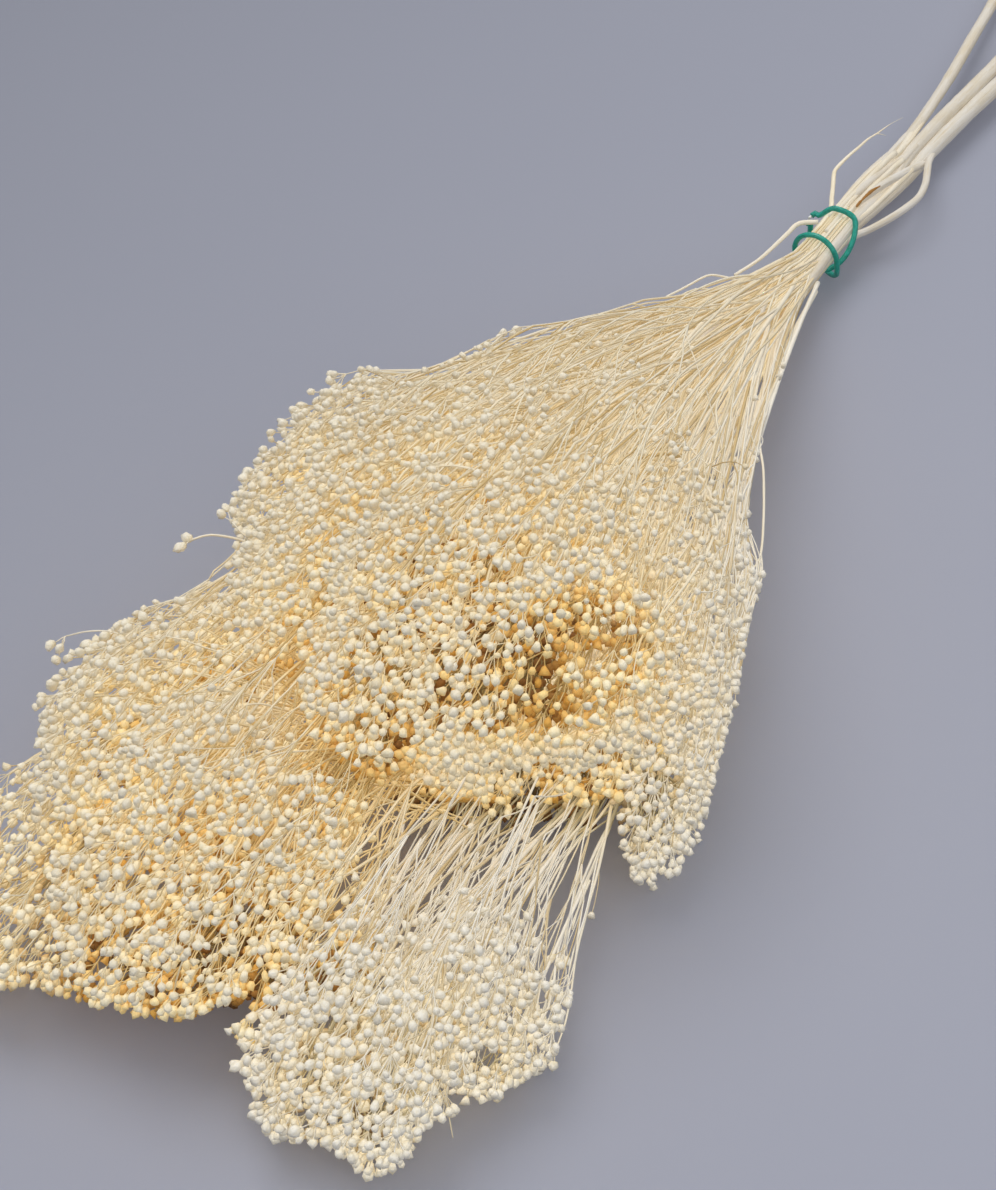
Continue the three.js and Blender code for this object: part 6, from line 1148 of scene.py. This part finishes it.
def make_stalk(name, woody):
    mat, nt, sh = material(name)
    ta, ts = attr(nt, "tone")
    fa, fs = attr(nt, "fibre")
    # painted shade and light: darker and warmer where the light value in tone is low, paler in the open
    if woody:
        c = shade(nt, ta, ts, [(0.0, (0.42, 0.24, 0.08)), (0.14, (0.72, 0.54, 0.30)), (0.34, (0.78, 0.68, 0.50)), (0.62, (0.80, 0.74, 0.61))],
                  [(0.0, (0.44, 0.33, 0.18)), (0.14, (0.60, 0.52, 0.39)), (0.34, (0.60, 0.565, 0.495)), (0.62, (0.615, 0.59, 0.555))])
    else:
        c = shade(nt, ta, ts,
                  [(0.0, (0.13, 0.09, 0.03)), (0.04, (0.44, 0.32, 0.12)), (0.10, (0.71, 0.56, 0.28)), (0.20, (0.79, 0.665, 0.40)), (0.36, (0.785, 0.70, 0.505)), (0.62, (0.765, 0.702, 0.56))],
                  [(0.0, (0.10, 0.085, 0.05)), (0.04, (0.36, 0.32, 0.20)), (0.10, (0.62, 0.58, 0.43)), (0.20, (0.71, 0.68, 0.575)), (0.36, (0.765, 0.74, 0.675)), (0.62, (0.785, 0.765, 0.715))])
    own_tone = ramp(nt, ts.outputs[0], [(0.0, (0.70, 0.56, 0.33)), (0.25, (0.88, 0.80, 0.64)), (0.5, (0.97, 0.945, 0.90)), (1.0, (1.0, 1.0, 1.0))])
    c = mix(nt, "MULTIPLY", 1.0, c, own_tone)
    # lengthwise fibres
    fibres = noise(nt, fa.outputs["Vector"], 1.4 if woody else 2.2, 4.0 if woody else 2.0, 0.6, scaling=(1.0, 1.0, 0.045))
    fc = ramp(nt, fibres, [(0.30, (0.86, 0.77, 0.60)), (0.46, (0.97, 0.95, 0.90)), (0.60, (1, 1, 1))])
    c = mix(nt, "MULTIPLY", 0.70 if woody else 0.45, c, fc)
    h = fibres
    if woody:   # stains and paler bleached lengths
        stain = noise(nt, fa.outputs["Vector"], 0.25, 3.0, 0.6, scaling=(0.6, 0.6, 0.28))
        sc = ramp(nt, stain, [(0.33, (0.93, 0.87, 0.74)), (0.55, (1, 1, 1))])
        c = mix(nt, "MULTIPLY", 0.7, c, sc)
        h = math_node(nt, "ADD", fibres, math_node(nt, "MULTIPLY", stain, 0.4))
    nt.links.new(c, sh.inputs["Base Color"])
    nt.links.new(bump(nt, h, 0.0005 if woody else 0.0003, 0.6), sh.inputs["Normal"])
    roughness(nt, sh, fibres, 0.58, 0.80)
    sh.inputs["Specular IOR Level"].default_value = 0.3
    return mat


def make_coating():
    mat, nt, sh = material("green_coating")
    ta, ts = attr(nt, "tone")
    fa, fs = attr(nt, "fibre")
    lump = noise(nt, fa.outputs["Vector"], 1.1, 3.0, 0.6, scaling=(1, 1, 0.5))
    c = ramp(nt, lump, [(0.28, (0.001, 0.17, 0.125)), (0.5, (0.002, 0.27, 0.205)), (0.72, (0.006, 0.34, 0.265))])
    scuff = noise(nt, fa.outputs["Vector"], 3.2, 4.0, 0.7, scaling=(1, 1, 0.7))
    sc = ramp(nt, scuff, [(0.66, (0, 0, 0)), (0.78, (1, 1, 1))])
    c = mix(nt, "MIX", math_node(nt, "MULTIPLY", sc, 0.35), c, (0.14, 0.42, 0.35))
    nt.links.new(c, sh.inputs["Base Color"])
    nt.links.new(bump(nt, math_node(nt, "ADD", lump, math_node(nt, "MULTIPLY", scuff, 0.3)), 0.0008, 0.5), sh.inputs["Normal"])
    rgh = nt.nodes.new("ShaderNodeMapRange")
    rgh.inputs["From Min"].default_value = 0.4
    rgh.inputs["From Max"].default_value = 0.8
    rgh.inputs["To Min"].default_value = 0.30
    rgh.inputs["To Max"].default_value = 0.55
    nt.links.new(scuff, rgh.inputs[0])
    nt.links.new(rgh.outputs[0], sh.inputs["Roughness"])
    sh.inputs["Specular IOR Level"].default_value = 0.5
    return mat


def make_bare_wire():
    mat, nt, sh = material("bare_wire_end")
    fa, fs = attr(nt, "fibre")
    n = noise(nt, fa.outputs["Vector"], 3.0, 3.0, 0.6)
    c = ramp(nt, n, [(0.35, (0.52, 0.56, 0.55)), (0.65, (0.80, 0.82, 0.80))])
    nt.links.new(c, sh.inputs["Base Color"])
    nt.links.new(bump(nt, n, 0.0004, 0.4), sh.inputs["Normal"])
    sh.inputs["Roughness"].default_value = 0.42
    sh.inputs["Metallic"].default_value = 0.55
    return mat


def make_pith():
    mat, nt, sh = material("cut_end")
    fa, fs = attr(nt, "fibre")
    n = noise(nt, fa.outputs["Vector"], 2.2, 4.0, 0.65)
    c = ramp(nt, n, [(0.3, (0.50, 0.36, 0.18)), (0.62, (0.80, 0.70, 0.48))])
    nt.links.new(c, sh.inputs["Base Color"])
    nt.links.new(bump(nt, n, 0.0006, 0.6), sh.inputs["Normal"])
    sh.inputs["Roughness"].default_value = 0.85
    return mat


BUD = make_bud()
STALK = make_stalk("dry_stalk", False)
WOOD = make_stalk("dry_stem", True)
COAT = make_coating()
BARE = make_bare_wire()
PITH = make_pith()

# ---- sprays ---------------------------------------------------------------------------
total = 0
kinds = rng.integers(0, len(PROFILES), len(B))
bud_axis = unit(0.8 * ax + 0.2 * unit(B - node[own]) + rng.normal(size=B.shape) * 0.10)
foot = B - bud_axis * (BUD_H * BS * 0.93)[:, None]
below = foot[:, 2] < 0.35
foot[below, 2] = 0.35
start = node[own]
L = np.linalg.norm(foot - start, axis=1)[:, None]
ped = hermite(start, F * L * 0.8, foot, bud_axis * L * 0.8, 3)
ped[:, 1:-1] += rng.normal(size=(len(ped), 1, 3)) * 0.12
ped[:, -1] += bud_axis * 0.35
ped[:, :, 2] = np.maximum(ped[:, :, 2], 0.2)
ped_r = np.array([0.165, 0.14, 0.20])[None, :] * (0.85 + 0.35 * rng.random((len(ped), 1)))
own_rand = np.repeat(rng.random(len(C)), count) * 0.55 + rng.random(len(B)) * 0.45
bud_tone = np.stack([own_rand, open_b, np.zeros(len(B)), WARM[CH[own]]], axis=1)
ped_tone = tone_of(ped, own_rand, WARM[CH[own]], CH[own])

loose_of = {}
for row in LOOSE:
    loose_of.setdefault(row[0], []).append(row)


def add_loose(piece, rows, mats, warm=0.6):
    """Loose shoots: mats are the material numbers of stalk and bud."""
    for spray, way, r0, r1, ends, scale in rows:
        w = spline(np.array(way), 1.6)
        r = np.linspace(r0, r1, len(w))
        p = w[None]
        p[:, :, 2] = np.maximum(p[:, :, 2], r.max() + 0.05)
        p = wavy(p, 0.10)
        piece.add(*tubes(p, r[None], 5 if r0 < 0.6 else 9, tone_of(p, np.array([0.7]), warm), knobs=0.03), mats[0])
        if ends:
            e = np.array(ends, float)
            s = np.full(len(e), scale)
            e[:, 2] = np.maximum(e[:, 2], 1.4 * s)
            tip = np.repeat(w[-1][None], len(e), 0)
            a0 = unit(w[-1] - w[-3])[None].repeat(len(e), 0)
            a = unit(unit(e - tip) + 0.4 * a0)
            ft = e - a * (BUD_H * s * 0.9)[:, None]
            LL = np.linalg.norm(ft - tip, axis=1)[:, None]
            q = hermite(tip, a0 * LL, ft, a * LL, 4)
            piece.add(*tubes(q, np.full((len(e), 4), 0.16), 4, tone_of(q, np.full(len(e), 0.7), warm)), mats[0])
            tn = np.tile(np.array([[0.6, 0.85, 0, warm]]), (len(e), 1))
            piece.add(*buds(e, a, s, 8, tn, rng.integers(0, 4, len(e))), mats[1])


made = {}
for hi, name in enumerate(NAMES):
    piece = Piece()
    P = paths[name]
    warm = WARM[hi]
    sel = np.where(CH[own] == hi)[0]
    if len(sel):
        o = open_b[sel]
        for part, sides, pick in ((sel[o >= 0.42], 6, (0, 1, 2)), (sel[(o >= 0.16) & (o < 0.42)], 6, (0, 2)), (sel[o < 0.16], 5, (0, 2))):
            if len(part):
                piece.add(*buds(B[part], bud_axis[part], BS[part], sides, bud_tone[part], kinds[part], pick), 0)
        seen = sel[o >= 0.10]
        piece.add(*tubes(ped[seen], ped_r[seen], 3, ped_tone[seen], caps=(False, False)), 1)
        seen = sel[o < 0.10]
        if len(seen):
            piece.add(*tubes(ped[seen][:, ::2], ped_r[seen][:, ::2], 3, ped_tone[seen][:, ::2], caps=(False, False)), 1)
    if "stalk" in P:
        s = P["stalk"]
        s[:, :, 2] = np.maximum(s[:, :, 2], 0.3)
        k = len(s)
        rr = np.linspace(0.225, 0.17, s.shape[1])[None] * (0.85 + 0.3 * rng.random((k, 1)))
        piece.add(*tubes(s, rr, 3, tone_of(s, rng.random(k), warm, hi), caps=(False, False)), 1)
        s = P["second"]
        s[:, :, 2] = np.maximum(s[:, :, 2], 0.4)
        k = len(s)
        rr = np.linspace(0.28, 0.22, s.shape[1])[None] * (0.85 + 0.3 * rng.random((k, 1)))
        piece.add(*tubes(s, rr, 4, tone_of(s, rng.random(k), warm, hi)), 1)
        for w in P["long"]:
            rr = np.interp(w[:, 0], [w[:, 0].min(), tie_x - 60, tie_x], [0.27, 0.38, 0.54]) * (1.5 if rng.random() < 0.12 else 0.75 + 0.4 * rng.random())
            p = w[None, :, :3]
            piece.add(*tubes(p, rr[None], 4, tone_of(p, rng.random(1), warm, hi), knobs=0.03), 1)
        if "veil" in P:
            s = P["veil"]
            k = len(s)
            rr = np.linspace(0.44 if CLUMP[hi] == "upper" else 0.38, 0.22, s.shape[1])[None] * np.where(rng.random((k, 1)) < 0.12, 1.55, 0.7 + 0.5 * rng.random((k, 1)) ** 1.6)
            if CLUMP[hi] == "front":
                rr = rr * np.where(rng.random((k, 1)) < 0.28, 1.25, 0.88)
            piece.add(*tubes(s, rr, 4, tone_of(s, rng.random(k), warm, hi), caps=(False, False), knobs=0.03), 1)
            s = P["fork"]
            k = len(s)
            if k:
                rr = np.linspace(0.22, 0.15, s.shape[1])[None] * (0.85 + 0.3 * rng.random((k, 1)))
                tn = tone_of(s, rng.random(k), warm, hi)
                piece.add(*tubes(s, rr, 3, tn, caps=(False, False)), 1)
                size = BUD_SCALE[hi] * (0.75 + 0.35 * rng.random(k))
                at = s[:, -1] + P["fork_end"] * (BUD_H * size * 0.85)[:, None]
                at[:, 2] = np.maximum(at[:, 2], 1.4 * size)
                piece.add(*buds(at, P["fork_end"], size, 6, tn[:, -1].copy(), rng.integers(0, len(PROFILES), k), (0, 2)), 0)
    w = branch_way[name]
    p = w[None, :, :3].copy()
    p[:, :, 2] = np.maximum(p[:, :, 2], 0.7)
    rr = np.interp(np.linspace(0, 1, len(w)), [0, 1], [0.82, 0.42])
    piece.add(*tubes(p, rr[None], 7, tone_of(p, rng.random(1) * 0.6 + 0.4, warm, hi), knobs=0.03), 1)
    add_loose(piece, loose_of.get(name, ()), (1, 0))
    if name in ("upper_spray_14", "upper_spray_15"):
        mine = SHADED[hi % 2::2]
        k = len(mine)
        down = unit(S_D[hi] + rng.normal(size=(k, 3)) * 0.35 - (0, 0, 0.4))
        size = BUD_SCALE[hi] * (0.85 + 0.3 * rng.random(k))
        # painted shade: a light value near 0 makes these buds and stalks dark brown
        tn = np.stack([rng.random(k), 0.012 * rng.random(k), np.zeros(k), np.full(k, warm)], axis=1)
        piece.add(*buds(mine, down, size, 5, tn, rng.integers(0, len(PROFILES), k), (0, 2)), 0)
        back = mine - down * (8 + 9 * rng.random((k, 1))) + (0, 0, 3)
        way_s = hermite(back, down * 8, mine - down * 1.0, down * 8, 4)
        piece.add(*tubes(way_s, np.full((k, 4), 0.2), 3, np.repeat(tn[:, None], 4, 1), caps=(False, False)), 1)
    ob = piece.build(name + "_look", [BUD, STALK])
    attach(ob, "root")
    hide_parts(name)
    made[name] = piece.faces()
    total += piece.faces()

# ---- stems ------------------------------------------------------------------------------
for stem in ("stem_left", "stem_middle", "stem_right"):
    piece = Piece()
    for g, (owner, rows) in LIMBS.items():
        if owner != stem:
            continue
        w = spline(np.array(rows), 2.0)
        n = len(w)
        r = w[:, 3].copy()
        # slight swellings where shoots leave, and uneven growth
        s = np.linspace(0, 1, n)
        r *= 1 + 0.035 * np.sin(s * 61 + rng.random() * 6) * np.sin(s * 23 + rng.random() * 6) + 0.015 * rng.normal(size=n)
        p = w[None, :, :3].copy()
        p[:, :, 2] = np.maximum(p[:, :, 2], r[None])
        piece.add(*tubes(p, r[None], 14, tone_of(p, rng.random(1) * 0.4 + 0.6, 0.1), oval=0.06, caps=(False, True)), 0)
        if g.endswith("0"):   # the cut end, slanted and dished
            t = unit(p[0, 0] - p[0, 1])
            q = np.stack([p[0, 0] - t * 0.02, p[0, 0] + t * 0.10, p[0, 0] + t * 0.12])[None]
            piece.add(*tubes(q, np.array([[1.0, 0.94, 0.6]]) * r[0], 14, tone_of(q, np.array([0.5])), caps=(False, True)), 1)
    add_loose(piece, loose_of.get(stem, ()), (0, 0))
    if stem == "stem_middle":   # torn bark above the tie, brown in the split
        for slit in SLITS:
            q = spline(np.array(slit), 1.0)[None]
            width = np.sin(np.linspace(0.15, math.pi - 0.15, q.shape[1]))[None]
            tn = tone_of(q, np.array([0.05]), 1.0)
            tn[..., 1] = 0.0
            piece.add(*tubes(q, 0.10 + 0.48 * width, 7, tn, knobs=0.12), 0)
    ob = piece.build(stem + "_look", [WOOD, PITH])
    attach(ob, "root")
    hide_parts(stem)
    made[stem] = piece.faces()
    total += piece.faces()

# ---- kinked twig ---------------------------------------------------------------------------
piece = Piece()
w = spline(np.array(KINKED), 0.9)
p = w[None, :, :3]
piece.add(*tubes(p, w[None, :, 3], 10, tone_of(p, np.array([0.8])), oval=0.08, knobs=0.02), 0)
for hair, thick in ((HAIR, 0.13), (SPLIT, 0.24)):
    q = spline(np.array(hair), 1.2)[None]
    piece.add(*tubes(q, np.linspace(thick, 0.05, q.shape[1])[None], 4, tone_of(q, np.array([0.9]))), 0)
ob = piece.build("kinked_twig_look", [WOOD])
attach(ob, "root")
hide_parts("kinked_twig")
total += piece.faces()

# ---- tie -------------------------------------------------------------------------------------
piece = Piece()
w = spline(np.array(WIRE), 0.8)
r = np.full(len(w), 0.93)
r *= 1 + 0.02 * rng.normal(size=len(w))
p = w[None]
piece.add(*tubes(p, r[None], 12, tone_of(p, np.array([0.5])), oval=0.03), 0)
for e, b in ((0, 2),):
    t = unit(w[e] - w[b])
    q = np.stack([w[e] - t * 0.1, w[e] + t * 0.7, w[e] + t * 1.5])[None]
    piece.add(*tubes(q, np.array([[0.5, 0.48, 0.40]]), 8, tone_of(q, np.array([0.5]))), 1)
ob = piece.build("tie_wire_look", [COAT, BARE])
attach(ob, "root")
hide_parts("tie_wire")
total += piece.faces()
print("faces", total, "largest", max(made.values()))

# ---- floor and light ---------------------------------------------------------------------------
me = bpy.data.meshes.new("floor")
s = 12.0
me.from_pydata([(-s, -s, 0), (s, -s, 0), (s, s, 0), (-s, s, 0)], [], [(0, 1, 2, 3)])
floor = bpy.data.objects.new("floor", me)
floor.location = (0, 0, 0)
scene.collection.objects.link(floor)
mat, nt, sh = material("floor_paper")
tc = nt.nodes.new("ShaderNodeTexCoord")
fn = noise(nt, tc.outputs["Object"], 3.0, 2.0)
fc = ramp(nt, fn, [(0.3, (0.690, 0.718, 0.866)), (0.7, (0.706, 0.735, 0.885))])
painted_falloff = nt.nodes.new("ShaderNodeVectorMath")   # painted light falloff: the floor is paler towards -Y, standing in for light falling off across it
painted_falloff.operation = "DOT_PRODUCT"
painted_falloff.inputs[1].default_value = (0.0, -1.0, 0.0)
nt.links.new(tc.outputs["Object"], painted_falloff.inputs[0])
side = math_node(nt, "ADD", math_node(nt, "MULTIPLY", painted_falloff.outputs["Value"], 1.0), 0.5)
fc = mix(nt, "MULTIPLY", 1.0, fc, ramp(nt, side, [(0.12, (0.58, 0.58, 0.58)), (0.5, (0.79, 0.79, 0.79)), (0.85, (0.88, 0.88, 0.88))]))
nt.links.new(fc, sh.inputs["Base Color"])
sh.inputs["Roughness"].default_value = 0.9
sh.inputs["Specular IOR Level"].default_value = 0.1
me.materials.append(mat)

scene.cycles.diffuse_bounces = 6   # light goes far between such pale buds
scene.view_settings.view_transform = "Standard"
scene.view_settings.look = "None"
world = bpy.data.worlds.new("studio")
scene.world = world
world.use_nodes = True
bg = world.node_tree.nodes.get("Background") or world.node_tree.nodes.new("ShaderNodeBackground")
bg.inputs[0].default_value = (0.98, 0.99, 1.0, 1)
bg.inputs[1].default_value = 0.34


def lamp(kind, name, at, aim, power, colour, size=None, shadow=True, only=None):
    d = bpy.data.lights.new(name, kind)
    if kind == "AREA":
        d.shape = "DISK"
        d.size = size
    d.energy = power
    d.color = colour
    d.use_shadow = shadow
    o = bpy.data.objects.new(name, d)
    o.location = at
    v = np.array(aim) - np.array(at)
    o.rotation_euler = (math.atan2(math.hypot(v[0], v[1]), -v[2]), 0, math.atan2(v[1], v[0]) - math.pi / 2)
    scene.collection.objects.link(o)
    if not shadow or only:   # so the floor keeps the shadows of the bunch
        o.light_linking.receiver_collection = only or plant
    return o


plant = bpy.data.collections.new("plant")
for ob in scene.objects:
    if ob.type == "MESH" and ob is not floor:
        plant.objects.link(ob)
ground = bpy.data.collections.new("ground")
ground.objects.link(floor)
view = np.array([math.sin(math.radians(58)), math.cos(math.radians(58)), 0])      # away from the camera
left = np.array([-view[1], view[0], 0])
aim = np.array([-0.08, 0.0, 0.03])
# a large soft lamp above and behind on the left, and lamps that fill the hollows, as thin dry buds let light through
lamp("AREA", "key", aim + view * 0.75 + left * 0.6 + np.array([0, 0, 2.5]), aim, 8.2, (1.0, 0.985, 0.96), 2.0, only=plant)
lamp("AREA", "key_floor", aim + view * 0.75 + left * 0.6 + np.array([0, 0, 2.5]), aim, 17.6, (1.0, 0.985, 0.96), 2.0, only=ground)
lamp("AREA", "front", aim - view * 1.3 - left * 0.5 + np.array([0, 0, 1.7]), aim, 3.5, (1.0, 0.99, 0.98), 1.8)
lamp("SUN", "fill_top", aim + view * 0.7 + left * 0.4 + np.array([0, 0, 2.0]), aim, 1.40, (1.0, 0.99, 0.97), shadow=False)
lamp("SUN", "fill_floor", aim + np.array([0, 0, 2.0]), aim, 0.13, (1.0, 0.99, 0.98), shadow=False, only=ground)
for n, way_to in enumerate((view, left, -view, -left)):
    lamp("SUN", "fill_%d" % n, aim + way_to * 1.7 + np.array([0, 0, 1.0]), aim, 0.46 if n < 2 else 0.37, (1.0, 0.99, 0.975), shadow=False)
lamp("AREA", "fill_side", aim - view * 0.5 - left * 0.9 + np.array([0, 0, 0.9]), aim, 2.0, (1.0, 0.99, 0.985), 0.9, shadow=False)
